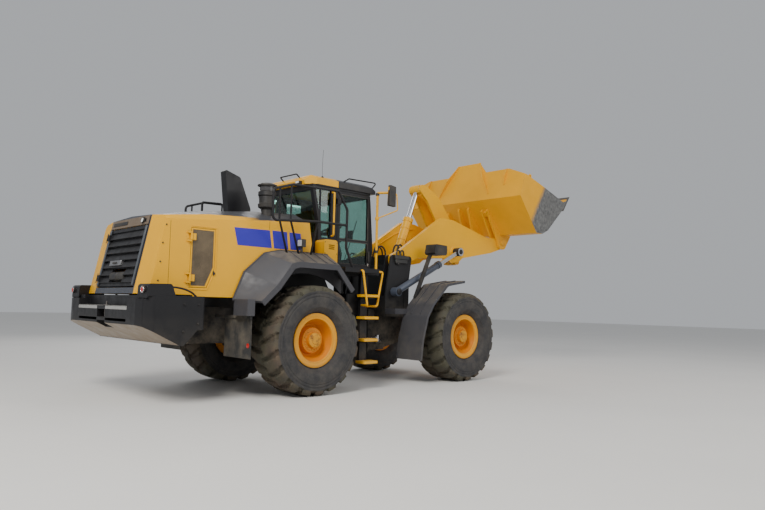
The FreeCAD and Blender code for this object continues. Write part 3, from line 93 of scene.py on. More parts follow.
class Shader:
    # a material with a principled shader and short calls for the nodes it needs

    def __init__(self, name, **sockets):
        self.material = bpy.data.materials.new(name)
        self.material.use_nodes = True
        self.tree = self.material.node_tree
        self.surface = self.tree.nodes["Principled BSDF"]
        for socket, value in sockets.items():
            self.surface.inputs[socket.replace("_", " ")].default_value = value
        coords = self.node("ShaderNodeTexCoord")
        self.place = coords.outputs["Object"]
        self.facing = coords.outputs["Normal"]

    def node(self, kind, sockets={}, **settings):
        # a socket is given a number, a tone, a direction or another node's output
        made = assign(self.tree.nodes.new(kind), **settings)
        for key, value in sockets.items():
            socket = made.inputs[key]
            if not isinstance(value, (int, float, tuple)):
                self.tree.links.new(value, socket)
            elif socket.type == "RGBA":
                socket.default_value = (*value, 1.0)
            else:
                socket.default_value = value
        return made

    def noise(self, scale, detail, roughness=0.55, stretch=(1, 1, 1)):
        mapping = self.node("ShaderNodeMapping", {"Vector": self.place, "Scale": stretch})
        return self.node("ShaderNodeTexNoise", {"Vector": mapping.outputs["Vector"], "Scale": scale,
                                                "Detail": detail, "Roughness": roughness}).outputs["Fac"]

    def spread(self, value, low, high, start=0.0, end=1.0):
        return self.node("ShaderNodeMapRange", {"Value": value, "From Min": low, "From Max": high,
                                                "To Min": start, "To Max": end}).outputs["Result"]

    def math(self, operation, first, second):
        return self.node("ShaderNodeMath", {0: first, 1: second}, operation=operation,
                         use_clamp=True).outputs["Value"]

    def size(self, value):
        # a value without its sign
        return self.node("ShaderNodeMath", {0: value}, operation="ABSOLUTE").outputs["Value"]

    def dot(self, first, second):
        return self.node("ShaderNodeVectorMath", {0: first, 1: second},
                         operation="DOT_PRODUCT").outputs["Value"]

    def mix(self, factor, first, second):
        return self.node("ShaderNodeMix", {0: factor, 6: first, 7: second}, data_type="RGBA").outputs[2]

    def along(self, way, grain, ragged):
        # distance along a direction, made uneven by noise
        return self.node("ShaderNodeMath", {0: self.noise(*grain), 1: ragged, 2: self.dot(self.place, way)},
                         operation="MULTIPLY_ADD").outputs["Value"]

    def part(self, source, axis):
        return self.node("ShaderNodeSeparateXYZ", {"Vector": source}).outputs[axis]

    def bump(self, height, strength, distance, under=None):
        sockets = {"Height": height, "Strength": strength, "Distance": distance}
        if under:
            sockets["Normal"] = under
        return self.node("ShaderNodeBump", sockets).outputs["Normal"]

    def rounded(self, radius):
        return self.node("ShaderNodeBevel", {"Radius": radius}, samples=4).outputs["Normal"]

    def finish(self, colour, rough=None, normal=None):
        for value, socket in ((colour, "Base Color"), (rough, "Roughness"), (normal, "Normal")):
            if value:
                self.tree.links.new(value, self.surface.inputs[socket])
        return self.material


def darker(tone, share):
    return tuple(c * share for c in tone)


dustTone = (0.30, 0.25, 0.18)

# what every paint starts from; a finish names only what differs
paintSetup = {
    "shade": 0.9, "smooth": 0.32, "rough": 0.5, "coat": 0.06,  # darker patches, roughness, clear coat
    "dustLow": 0.0, "dustTop": 1.6, "dustFull": 0.3, "topDustAndHighlight": 0.3,  # dust by height in metres, and on top, where on the fenders it also paints their highlight
    "wear": 0.0, "edge": 0.006, "under": (0.12, 0.10, 0.09),  # rubbed edges
    "zones": [],  # other tones where a face lies or looks a certain way
    # noise: scale, detail, roughness
    "cloud": (1.3, 4.0), "grime": (5.0, 8.0, 0.7), "chips": (30.0, 6.0, 0.7), "peel": (180.0, 2.0)}


def paint(name, tone, changes):
    # sprayed paint with soft unevenness, dust near the ground and on top, and rubbed edges; on the fenders the
    # top dust also stands for a painted highlight
    setup = {**paintSetup, **changes}
    made = Shader(name, Metallic=0.0, Specular_IOR_Level=0.3, Coat_Weight=setup["coat"], Coat_Roughness=0.2)
    cloud = made.spread(made.noise(*setup["cloud"]), 0.3, 0.7)
    colour = made.mix(cloud, darker(tone, setup["shade"]), tone)
    grime = made.noise(*setup["grime"])
    height = made.part(made.place, "Z")
    ground = made.spread(height, setup["dustTop"], setup["dustFull"], 0.0, setup["dustLow"])
    # faces that look up get lighter: dust, and on the fenders also a painted highlight
    settledDustAndHighlight = made.spread(made.part(made.facing, "Z"), 0.5, 1.0, 0.0, setup["topDustAndHighlight"])
    dust = made.math("MULTIPLY", made.math("ADD", ground, settledDustAndHighlight), made.spread(grime, 0.35, 0.65))
    colour = made.mix(dust, colour, dustTone)
    for zone in setup["zones"]:
        mask, inside = 1.0, zone["tone"]
        for kind, axis, off, full in zone["tests"]:
            value = made.part(made.facing if kind in ("facing", "eitherFacing") else made.place, axis)
            if kind.startswith("either"):
                value = made.size(value)
            mask = made.math("MULTIPLY", made.spread(value, off, full), mask)
        if "bare" in zone:
            patch = zone["bare"]
            lying = made.along(patch["way"], patch["grain"], patch["ragged"])
            mask = made.math("MULTIPLY", made.spread(lying, patch["start"], patch["end"]), mask)
            inside = made.mix(made.spread(made.noise(*patch["scores"]), 0.35, 0.7), inside, patch["light"])
        colour = made.mix(mask, colour, inside)
    edge = made.rounded(setup["edge"])
    if setup["wear"]:
        flat = made.node("ShaderNodeNewGeometry").outputs["Normal"]
        rubbed = made.spread(made.dot(edge, flat), 0.995, 0.9, 0.0, setup["wear"])
        chips = made.spread(made.noise(*setup["chips"]), 0.5, 0.6)
        colour = made.mix(made.math("MULTIPLY", rubbed, chips), colour, setup["under"])
    rough = made.spread(grime, 0.3, 0.7, setup["smooth"], setup["rough"])
    rough = made.math("ADD", rough, made.math("MULTIPLY", dust, 0.5))
    return made.finish(colour, rough, made.bump(made.noise(*setup["peel"]), 0.05, 0.0006, edge))


def metal(name, tone, rough, scratch, dust):
    made = Shader(name, Metallic=1.0)
    brushed = made.noise(40.0, 5.0, 0.7, (1, 1, 8))
    colour = made.mix(made.spread(brushed, 0.35, 0.7), darker(tone, 0.8), tone)
    colour = made.mix(made.spread(made.noise(6.0, 5.0), 0.5, 0.75, 0.0, dust), colour, dustTone)
    return made.finish(colour, made.spread(brushed, 0.3, 0.7, rough, rough + 0.15),
                       made.bump(brushed, scratch, 0.001, made.rounded(0.004)))


def plastic(name, tone, rough, grain=0.3, grainScale=400.0, dust=0.05):
    made = Shader(name, Metallic=0.0, Specular_IOR_Level=0.4)
    cloud = made.noise(4.0, 5.0, 0.6)
    colour = made.mix(made.spread(cloud, 0.4, 0.7, 0.0, dust), tone, dustTone)
    return made.finish(colour, made.spread(cloud, 0.3, 0.7, rough, min(rough + 0.2, 1.0)),
                       made.bump(made.noise(grainScale, 2.0), grain, 0.0008, made.rounded(0.003)))


def glassPane(name, setup):
    made = Shader(name, Metallic=0.0, Roughness=0.03, IOR=1.45, Transmission_Weight=1.0,
                  Specular_IOR_Level=0.5)
    colour = made.mix(made.spread(made.noise(3.0, 4.0), 0.3, 0.7), darker(setup["tone"], 0.92), setup["tone"])
    return made.finish(colour, made.spread(made.noise(9.0, 3.0), 0.5, 0.75, 0.02, setup["smear"]))


def rusty(name, setup):
    made = Shader(name, Metallic=0.0, Specular_IOR_Level=0.4)
    broad = made.noise(9.0, 6.0, 0.7)
    fine = made.noise(55.0, 6.0, 0.7)
    rust = made.mix(made.spread(fine, 0.35, 0.65), setup["rust"], setup["freshRust"])
    colour = made.mix(made.spread(broad, 0.35, 0.5), rust, setup["paint"])
    return made.finish(colour, made.spread(fine, 0.3, 0.7, 0.55, 0.85), made.bump(fine, 0.4, 0.002))


def perforated(name, setup):
    # sheet with rows of small holes, drawn as near-black dots of painted shade on a solid sheet instead of
    # openings
    made = Shader(name, Metallic=0.3, Roughness=0.6)
    flat = made.node("ShaderNodeMapping", {"Vector": made.place, "Scale": (1, 0, 1)})
    cells = made.node("ShaderNodeTexVoronoi", {"Vector": flat.outputs["Vector"], "Scale": setup["rows"],
                                               "Randomness": 0.0})
    solid = made.spread(cells.outputs["Distance"], *setup["rim"])
    stain = made.spread(made.noise(5.0, 5.0), 0.35, 0.7)
    sheet = made.mix(stain, darker(setup["tone"], 0.6), setup["tone"])
    return made.finish(made.mix(solid, setup["hole"], sheet), normal=made.bump(solid, 0.5, 0.002))


def rubber(name, setup):
    # tyre rubber: dusty sidewalls, and mud on the tread where the mesh says so
    made = Shader(name, Metallic=0.0, Specular_IOR_Level=0.3)
    split = made.node("ShaderNodeAttribute", attribute_name="tread")
    patch = made.noise(7.0, 6.0, 0.65)
    fine = made.noise(60.0, 4.0, 0.7)
    mud = made.mix(made.spread(made.noise(2.3, 3.0), 0.4, 0.65), setup["mud"], setup["dryMud"])
    side = made.mix(made.spread(patch, 0.35, 0.75, 0.0, setup["sideDust"]), setup["tone"], setup["sideTone"])
    crown = made.mix(made.spread(patch, 0.3, 0.7, 0.3, setup["treadDust"]), setup["tone"], mud)
    colour = made.mix(split.outputs["Fac"], side, crown)
    return made.finish(colour, made.spread(fine, 0.3, 0.7, 0.68, 0.95), made.bump(fine, 0.35, 0.003))


# zones: a test is (kind, axis, where the mask is off, where it is full); places are in metres
# bare metal towards the bucket's lower front, by the distance along a slanting line
bareSteel = {"tone": (0.075, 0.075, 0.075),
             "tests": [("eitherFacing", "Y", 0.8, 0.9), ("eitherPlace", "Y", 1.44, 1.46)],
             "bare": {"way": (0.85, 0.0, -0.53), "ragged": 0.10, "start": 1.10, "end": 1.22,
                      "light": (0.20, 0.20, 0.195), "grain": (8.0, 6.0, 0.7), "scores": (14.0, 6.0, 0.7)}}
# painted shade: the rim's dish turns darker orange deeper inside its hollow, where shade falls
paintedDishShade = {"tone": (0.62, 0.20, 0.003), "tests": [("eitherPlace", "Y", 1.3815, 1.376)]}
darkTop = {"tone": (0.055, 0.057, 0.064), "tests": [("facing", "Z", 0.80, 0.86)]}
darkRear = {"tone": (0.05, 0.055, 0.07), "tests": [("facing", "X", -0.85, -0.9),
                                                   ("eitherPlace", "Y", 0.681, 0.679)]}
darkEaves = {"tone": (0.022, 0.022, 0.026), "tests": [("place", "X", -1.363, -1.361),
                                                      ("eitherPlace", "Y", 0.70, 0.702)]}
dustUnder = {"tone": (0.26, 0.20, 0.14), "tests": [("facing", "Z", -0.35, -0.6)]}

yellow = (0.80, 0.40, 0.003)
charcoal = (0.010, 0.010, 0.012)
paints = {
    "bodyYellow": (yellow, {"shade": 0.93, "dustLow": 0.35, "topDustAndHighlight": 0.08, "dustTop": 1.5}),
    "hoodPaint": (yellow, {"shade": 0.93, "dustLow": 0.35, "topDustAndHighlight": 0.2, "dustTop": 1.5,
                           "zones": [darkTop, darkRear]}),
    "roofPaint": (yellow, {"shade": 0.93, "topDustAndHighlight": 0.1, "zones": [darkEaves]}),
    "boomYellow": ((0.84, 0.42, 0.003), {"shade": 0.92, "topDustAndHighlight": 0.1, "wear": 0.35}),
    "bucketYellow": ((0.84, 0.40, 0.003), {"shade": 0.85, "wear": 0.8,
                                           "rough": 0.6, "zones": [bareSteel]}),
    "rimYellow": ((0.84, 0.36, 0.003), {"shade": 0.85, "dustLow": 0.3, "dustTop": 1.5, "rough": 0.6,
                                        "zones": [paintedDishShade]}),
    "charcoalPaint": (charcoal, {"dustLow": 0.3, "topDustAndHighlight": 0.2, "dustTop": 1.4, "coat": 0.05, "rough": 0.6}),
    "counterPaint": (charcoal, {"dustLow": 0.2, "topDustAndHighlight": 0.2, "dustTop": 1.2, "coat": 0.05, "rough": 0.6,
                                "zones": [dustUnder]}),
    # fender tops lightened with strong top dust: partly dust, partly a painted highlight where light falls on
    # them
    "fenderPaint": ((0.06, 0.06, 0.068), {"dustLow": 0.2, "topDustAndHighlight": 0.6, "dustTop": 1.3, "coat": 0.0,
                                          "rough": 0.65}),
    "frameBlack": ((0.02, 0.02, 0.022), {"dustLow": 0.7, "topDustAndHighlight": 0.35, "coat": 0.0}),
    "hoodGrey": ((0.075, 0.085, 0.10), {"topDustAndHighlight": 0.25}),
    "cylinderBlue": ((0.07, 0.085, 0.12), {"topDustAndHighlight": 0.1, "coat": 0.3}),
    "stripeBlue": ((0.03, 0.02, 0.40), {"topDustAndHighlight": 0.1}),
    "capBrown": ((0.16, 0.12, 0.085), {"topDustAndHighlight": 0.2, "rough": 0.7}),
    "ledgeGrey": ((0.34, 0.34, 0.33), {"rough": 0.7})}
metals = {
    "chrome": {"tone": (0.75, 0.75, 0.76), "rough": 0.08, "scratch": 0.02, "dust": 0.05},
    "wornSteel": {"tone": (0.22, 0.20, 0.19), "rough": 0.42, "scratch": 0.4, "dust": 0.35},
    "castIron": {"tone": (0.10, 0.10, 0.10), "rough": 0.55, "scratch": 0.4, "dust": 0.3},
    "wornAlloy": {"tone": (0.42, 0.42, 0.43), "rough": 0.35, "scratch": 0.2, "dust": 0.2}}
plastics = {
    "blackPlastic": {"tone": (0.018, 0.018, 0.02), "rough": 0.42, "grain": 0.15, "dust": 0.15},
    "darkRubber": {"tone": (0.03, 0.03, 0.03), "rough": 0.65, "grain": 0.25, "grainScale": 120.0, "dust": 0.35},
    "lampGlass": {"tone": (0.80, 0.82, 0.80), "rough": 0.12, "grainScale": 60.0},
    "lensRed": {"tone": (0.45, 0.012, 0.01), "rough": 0.15, "grainScale": 60.0},
    # near-black finish: dark joints on the hood seams, and painted shade at the bottom of the side box slots
    "darkSeamAndShade": {"tone": (0.01, 0.01, 0.01), "rough": 0.7, "grain": 0.1, "grainScale": 200.0, "dust": 0.1},
    "smokedBowl": {"tone": (0.05, 0.05, 0.055), "rough": 0.08, "grain": 0.02, "grainScale": 200.0},
    "cabTrim": {"tone": (0.035, 0.035, 0.038), "rough": 0.6, "grainScale": 300.0, "dust": 0.1},
    "seatCloth": {"tone": (0.03, 0.03, 0.034), "rough": 0.8, "grain": 0.6, "grainScale": 900.0}}
glassSetup = {"tone": (0.47, 0.70, 0.64), "smear": 0.12}
hubSetup = {"rust": (0.16, 0.06, 0.018), "freshRust": (0.32, 0.14, 0.03), "paint": (0.62, 0.28, 0.012)}
# the holes' near-black tone is painted shade of the dark space behind the sheet
sheetSetup = {"tone": (0.23, 0.17, 0.10), "hole": (0.008, 0.008, 0.008), "rows": 65.0, "rim": (0.30, 0.36)}
rubberSetup = {"tone": (0.036, 0.036, 0.039), "sideTone": (0.14, 0.125, 0.105), "sideDust": 0.45,
               "mud": (0.115, 0.105, 0.06), "dryMud": (0.15, 0.105, 0.065), "treadDust": 0.65}

finishes = {name: paint(name, tone, changes) for name, (tone, changes) in paints.items()}
finishes.update({name: metal(name, **setup) for name, setup in metals.items()})
finishes.update({name: plastic(name, **setup) for name, setup in plastics.items()})
finishes["greenGlass"] = glassPane("greenGlass", glassSetup)
finishes["rustyHub"] = rusty("rustyHub", hubSetup)
finishes["perforated"] = perforated("perforated", sheetSetup)
finishes["tyreRubber"] = rubber("tyreRubber", rubberSetup)
print("materials made")


# Finishes on the frame's own nodes, and the record's slot that each finish of a new piece belongs to

def pair(name):
    return [f"{name}_left", f"{name}_right"]


finishOfNode = {
    "boomYellow": ["boom", "bellcrank", "bucket_link", "tilt_barrel"],
    "bucketYellow": ["bucket"],
    "rimYellow": pair("rim_front") + pair("rim_rear"),
    "roofPaint": ["cab_roof"],
    "bodyYellow": ["grab_rails", "ladders", "mirrors", "side_boxes"] + pair("mesh_door"),
    "hoodPaint": ["hood_shell"],
    "counterPaint": ["counterweight"],
    "charcoalPaint": ["cab_deck", "cab_shell", "exhaust_duct", "grille_door", "handrails", "side_tanks",
                      "valve_block", "ladder_posts"] + pair("cab_door"),
    "fenderPaint": ["rear_fenders", "front_fenders"],
    "frameBlack": ["rear_frame", "front_frame", "front_axle", "rear_axle"] + pair("steering_barrel"),
    "cylinderBlue": pair("lift_barrel"),
    "chrome": ["tilt_rod"] + pair("lift_rod") + pair("steering_rod"),
    "wornSteel": ["cutting_edge"],
    "castIron": ["engine_block"],
    "blackPlastic": ["air_precleaner", "steering_console", "headlamps", "rear_lamps"],
    "darkRubber": ["mud_flaps"],
    "greenGlass": ["cab_glass"] + pair("door_glass"),
    "tyreRubber": pair("tyre_front") + pair("tyre_rear"),
    "seatCloth": ["seat"]}
finishesOfSlot = {
    "yellow_paint": ["bodyYellow", "boomYellow", "bucketYellow", "rimYellow", "perforated"],
    "charcoal_paint": ["charcoalPaint", "frameBlack", "capBrown", "ledgeGrey", "castIron", "darkSeamAndShade"],
    "blue_grey_paint": ["hoodGrey", "stripeBlue"],
    "black_plastic": ["blackPlastic", "smokedBowl", "cabTrim", "fenderPaint", "lensRed"],
    "chrome": ["chrome", "wornAlloy"],
    "worn_steel": ["wornSteel", "rustyHub"],
    "green_glass": ["lampGlass"],
    "rubber": ["darkRubber"],
    "tyre": ["tyreRubber"],
    "seat_fabric": ["seatCloth"]}
slotOfFinish = {finish: slotName for slotName, names in finishesOfSlot.items() for finish in names}

for finish, names in finishOfNode.items():
    for name in names:
        mesh = frame["nodes"][name].data
        mesh.materials.clear()
        mesh.materials.append(finishes[finish])
print("frame nodes finished")


# Shapes, in millimetres from the steering hinge and the ground

def flip(point, sign):
    # the same point or direction on the left (1) or the right (-1) of the machine
    x, y, z = point
    return (x, sign * y, z)


def addPrism(shape, corners, way):
    # flat polygon pushed along way
    near = [shape.verts.new(spot(*c)) for c in corners]
    far = [shape.verts.new(spot(*(a + b for a, b in zip(c, way)))) for c in corners]
    shape.faces.new(near)
    shape.faces.new(list(reversed(far)))
    for i in range(len(near)):
        j = (i + 1) % len(near)
        shape.faces.new((near[i], far[i], far[j], near[j]))


def addBox(shape, x0, x1, y0, y1, z0, z1, c=0):
    # box with its upright edges cut off by c
    if c:
        plan = [(x0 + c, y0), (x1 - c, y0), (x1, y0 + c), (x1, y1 - c),
                (x1 - c, y1), (x0 + c, y1), (x0, y1 - c), (x0, y0 + c)]
    else:
        plan = [(x0, y0), (x1, y0), (x1, y1), (x0, y1)]
    addPrism(shape, [(x, y, z0) for x, y in plan], (0, 0, z1 - z0))


def addRing(shape, centre, axis, profile, steps):
    # turned form: profile rows are (along, out); an end with out 0 is closed
    axis = Vector(axis).normalized()
    side = axis.orthogonal().normalized()
    other = axis.cross(side)
    rings = []
    for along, out in profile:
        middle = spot(*centre) + axis * (along / 1000)
        if out == 0:
            rings.append([shape.verts.new(middle)])
            continue
        turns = [2 * pi * i / steps for i in range(steps)]
        rings.append([shape.verts.new(middle + (side * cos(t) + other * sin(t)) * (out / 1000)) for t in turns])
    for first, second in zip(rings, rings[1:]):
        for i in range(steps):
            j = (i + 1) % steps
            if len(first) == 1 and len(second) > 1:
                shape.faces.new((first[0], second[i], second[j]))
            elif len(second) == 1 and len(first) > 1:
                shape.faces.new((first[j], first[i], second[0]))
            elif len(first) > 1:
                shape.faces.new((first[i], second[i], second[j], first[j]))


# washer and hexagon head, as shares of the bolt's size
washer = [(0.22, 1.05), (0.22, 0.7)]
head = [(0.2, 0), (0.2, 0.85), (0.75, 0.85), (0.9, 0.6), (0.9, 0)]


def addBolt(shape, centre, axis, size):
    seated = [(-1, 0), (-1, size * 1.05)] + [(size * along, size * out) for along, out in washer]
    addRing(shape, centre, axis, seated, 16)
    addRing(shape, centre, axis, [(size * along, size * out) for along, out in head], 6)


edgeSetup = {"segments": 2, "limit_method": "ANGLE", "angle_limit": radians(35)}
tubeSetup = {"dimensions": "3D", "bevel_resolution": 3, "resolution_u": 8, "use_fill_caps": True}


def dress(piece, finish, body, slotName=None):
    piece.data.materials.append(finishes[finish])
    slotName = slotName or slotOfFinish[finish]
    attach(piece, body)
    return piece


def meshPiece(name, shape, finish, body, smooth, bevel=None, slotName=None):
    # turns a bmesh into a piece that rides on a body; smooth is the angle up to which edges are soft
    bmesh.ops.remove_doubles(shape, verts=shape.verts, dist=1e-5)
    bmesh.ops.recalc_face_normals(shape, faces=shape.faces)
    data = bpy.data.meshes.new(name)
    shape.to_mesh(data)
    shape.free()
    piece = addObject(name, data)
    if bevel:
        assign(piece.modifiers.new("softEdges", "BEVEL"), width=bevel, **edgeSetup)
    for face in data.polygons:
        face.use_smooth = True
    data.set_sharp_from_angle(angle=radians(smooth))
    return dress(piece, finish, body, slotName)


def tubes(name, runs, radius, finish, body):
    # round tubes in one piece, each a smooth line through its points
    curve = assign(bpy.data.curves.new(name, "CURVE"), bevel_depth=radius / 1000, **tubeSetup)
    for points in runs:
        line = curve.splines.new("BEZIER")
        line.bezier_points.add(len(points) - 1)
        for knot, point in zip(line.bezier_points, points):
            knot.co = spot(*point)
            knot.handle_left_type = knot.handle_right_type = "AUTO"
    return dress(addObject(name, curve), finish, body)


# A piece's dictionary names what it is made of: boxes (x0, x1, y0, y1, z0, z1), plates (corners in (x, z),
# y0, y1), slabs (corners, way), turned forms (centre, axis, profile), bolts (centre) or tubes (points).
# A piece of both sides is given for the left one.
pieceSetup = {"finish": "blackPlastic", "body": "rear", "slot": None, "corner": 0, "bevel": None, "steps": 32,
              "axis": yAxis, "boxes": [], "plates": [], "slabs": [], "turned": [], "bolts": []}


def makePiece(changes, side=None, sign=1):
    setup = {"smooth": 35 if "turned" in changes else 40, **pieceSetup, **changes}
    name = f"{setup['name']}.{side}" if side else setup["name"]
    body = setup["body"].format(side=side)
    if "tubes" in setup:
        runs = [[flip(point, sign) for point in points] for points in setup["tubes"]]
        return tubes(name, runs, setup["radius"], setup["finish"], body)
    shape = bmesh.new()
    for x0, x1, y0, y1, z0, z1 in setup["boxes"]:
        addBox(shape, x0, x1, *sorted((sign * y0, sign * y1)), z0, z1, setup["corner"])
    for corners, y0, y1 in setup["plates"]:
        addPrism(shape, [(x, sign * y0, z) for x, z in corners], (0, sign * (y1 - y0), 0))
    for corners, way in setup["slabs"]:
        addPrism(shape, [flip(corner, sign) for corner in corners], way)
    for centre, axis, profile in setup["turned"]:
        addRing(shape, flip(centre, sign), flip(axis, sign), profile, setup["steps"])
    for centre in setup["bolts"]:
        addBolt(shape, flip(centre, sign), flip(setup["axis"], sign), setup["size"])
    return meshPiece(name, shape, setup["finish"], body, setup["smooth"], setup["bevel"], setup["slot"])


def makePieces(pieces, body="rear", bothSides=False):
    for side, sign in sides if bothSides else [(None, 1)]:
        for setup in pieces:
            makePiece({"body": body, **setup}, side, sign)


# Tyres, in metres

tyreSetup = {
    "lugs": 20, "around": 12, "depth": 0.044, "skew": 0.55, "bend": 1.4,
    "groove": 0.32, "grooveMiddle": 0.75, "grooveGrowth": 0.5,  # share of the pitch, and how it widens outwards
    "half": 0.344, "seam": 0.03, "seamStart": 0.55,  # half the width, and the notch in the middle
    "shoulder": 0.80, "sideDrop": 0.55, "sidePull": 0.6,  # how the grooves run out below the shoulder
    # half profile from the bead to the middle of the tread: (across, out, tread share)
    "profile": [(0.2257, 0.3453, 0), (0.2257, 0.400, 0), (0.232, 0.418, 0), (0.262, 0.438, 0),
                (0.292, 0.458, 0), (0.316, 0.492, 0), (0.326, 0.502, 0), (0.334, 0.530, 0),
                (0.341, 0.568, 0), (0.344, 0.600, 0), (0.3435, 0.632, 0), (0.342, 0.648, 0),
                (0.3365, 0.653, 0), (0.3365, 0.662, 0), (0.3415, 0.668, 0), (0.341, 0.690, 0),
                (0.3355, 0.696, 0), (0.3350, 0.708, 0), (0.3385, 0.714, 0),
                (0.3395, 0.734, 0), (0.339, 0.744, 0.1), (0.337, 0.750, 0.9), (0.334, 0.764, 1),
                (0.328, 0.781, 1), (0.317, 0.797, 1), (0.300, 0.809, 1), (0.276, 0.818, 1),
                (0.246, 0.8235, 1), (0.212, 0.8265, 1), (0.175, 0.8285, 1)]
    + [(across, 0.8295, 1) for across in (0.136, 0.098, 0.066, 0.044, 0.024, 0.010)]}


def treadDrop(setup, across, turn, half):
    # how far the rubber lies below the lug's top at a place on the tread
    reach = across / setup["half"]
    pitch = turn * setup["lugs"] / (2 * pi) + (0.5 if half < 0 else 0.0)
    phase = (pitch + setup["skew"] * (reach ** setup["bend"])) % 1.0
    inGroove = phase < setup["groove"] * (setup["grooveMiddle"] + setup["grooveGrowth"] * reach)
    inNotch = across < setup["seam"] and phase > setup["seamStart"]
    return setup["depth"] if inGroove or inNotch else 0.0


def makeTyre(setup, end, side, sign):
    shape = bmesh.new()
    layer = shape.verts.layers.float.new("tread")
    rows = [(*row, 1) for row in setup["profile"]] + [(*row, -1) for row in reversed(setup["profile"])]
    steps = setup["lugs"] * setup["around"]
    centre = jointSpot[f"wheel_{end}_{side}_spin"]
    rings = []
    for across, out, share, half in rows:
        inward, sideways = (1.0, 0.0) if out > setup["shoulder"] else (setup["sideDrop"], setup["sidePull"])
        ring = []
        for i in range(steps):
            turn = 2 * pi * i / steps
            drop = treadDrop(setup, across, turn, half) * share
            radius = out - drop * inward
            wide = half * (across - drop * sideways)
            vert = shape.verts.new((centre.x + radius * cos(turn), centre.y + wide * sign,
                                    centre.z + radius * sin(turn)))
            vert[layer] = share
            ring.append(vert)
        rings.append(ring)
    for first, second in zip(rings, rings[1:] + rings[:1]):
        for i in range(steps):
            j = (i + 1) % steps
            shape.faces.new((first[i], first[j], second[j], second[i]))
    piece = meshPiece(f"tyreTread.{end}.{side}", shape, "tyreRubber", f"wheel_{end}_{side}", 28)
    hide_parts(f"tyre_{end}_{side}")


for end, side, sign in wheels:
    makeTyre(tyreSetup, end, side, sign)
print("tyres made")


# Rims: bolt circle, hub cover with its plugs, and lock ring; out is from the wheel's middle

rimSetup = {
    "bolts": {"count": 20, "circle": 150, "out": 161, "size": 13, "turn": 0.0},
    "plugs": {"count": 3, "circle": 80, "out": 227, "size": 14, "turn": 0.4},
    "coverOut": 209.5, "cover": [(0, 112), (14, 108), (18, 96), (18, 60), (26, 54), (26, 0)],
    "ring": [(232, 352), (250.5, 352), (255, 362), (255, 402), (250.5, 409), (232, 409)]}


def boltCircle(shape, x, y, z, sign, setup):
    for i in range(setup["count"]):
        turn = 2 * pi * i / setup["count"] + setup["turn"]
        place = (x + setup["circle"] * cos(turn), y + sign * setup["out"], z + setup["circle"] * sin(turn))
        addBolt(shape, place, (0, sign, 0), setup["size"])


def makeHub(setup, end, side, sign):
    x, y, z = (v * 1000 for v in jointSpot[f"wheel_{end}_{side}_spin"] - Vector((hingeX, 0, 0)))
    body = f"wheel_{end}_{side}"
    shape = bmesh.new()
    boltCircle(shape, x, y, z, sign, setup["bolts"])
    meshPiece(f"rimBolts.{end}.{side}", shape, "rustyHub", body, 40)
    cover = bmesh.new()
    addRing(cover, (x, y + sign * setup["coverOut"], z), (0, sign, 0), setup["cover"], 40)
    boltCircle(cover, x, y, z, sign, setup["plugs"])
    meshPiece(f"hubCover.{end}.{side}", cover, "rustyHub", body, 40)
    ring = bmesh.new()
    addRing(ring, (x, y, z), (0, sign, 0), setup["ring"], 96)
    meshPiece(f"lockRing.{end}.{side}", ring, "rimYellow", body, 50)


for end, side, sign in wheels:
    makeHub(rimSetup, end, side, sign)
print("rims dressed")


# Rear end

hoodRear = {"low": (-4290, 1530), "high": (-4090, 2545)}  # the hood's sloping rear face, in (x, z)


def onRear(z, out):
    # x of the hood's rear face at a height, out millimetres off it
    (x0, z0), (x1, z1) = hoodRear["low"], hoodRear["high"]
    return x0 + (x1 - x0) * (z - z0) / (z1 - z0) - out


def rearPlate(z0, z1, y0, y1, out0, out1):
    # plate on the sloping rear face
    return ([(onRear(z0, out1), z0), (onRear(z0, out0), z0), (onRear(z1, out0), z1), (onRear(z1, out1), z1)],
            y0, y1)


rearPieces = [
    {"name": "grilleStrips", "finish": "hoodGrey", "body": "grille_door", "bevel": 0.006,
     "plates": [rearPlate(1575, 2398, s * 596, s * 642, 0.5, 22) for s in (-1, 1)]},
    {"name": "capPlate", "finish": "capBrown", "bevel": 0.004,
     "plates": [rearPlate(2412, 2446, -640, 640, 1, 14), rearPlate(2446, 2500, -640, -560, 1, 14),
                rearPlate(2446, 2500, -400, 640, 1, 14), rearPlate(2500, 2536, -640, 640, 1, 14)]},
    # black plate standing for the slot in the cap plate: painted shade of the opening
    {"name": "capSlot", "bevel": 0.004,
     "plates": [rearPlate(2450, 2500, 60, 560, 14.5, 22)]},
    {"name": "handlePlate", "finish": "wornAlloy", "body": "grille_door", "bevel": 0.004,
     "plates": [rearPlate(1858, 1930, -75, 320, -22, 28)]},
    {"name": "handlePull", "body": "grille_door", "bevel": 0.005,
     "plates": [rearPlate(1880, 1908, 60, 190, 27, 42)]},
    {"name": "rearWorkLamp",
     "turned": [((onRear(2472, 16), -480, 2472), (-1, 0, 0.2),
                 [(-2, 0), (-2, 44), (20, 44), (26, 38), (26, 34)])]},
    {"name": "rearWorkLens", "finish": "lampGlass",
     "turned": [((onRear(2472, 36), -480, 2472), (-1, 0, 0.2), [(0, 36), (6, 30), (8, 0)])]},
    # two big pipes in the opening under the louvres
    {"name": "coolerPipes", "body": "grille_door", "steps": 28,
     "turned": [((onRear(1650, -60), -236, 1700), yAxis,
                 [(0, 0), (0, 60), (8, 70), (215, 70), (225, 60), (228, 30), (244, 30), (247, 60), (257, 70),
                  (464, 70), (472, 60), (472, 0)])]}]
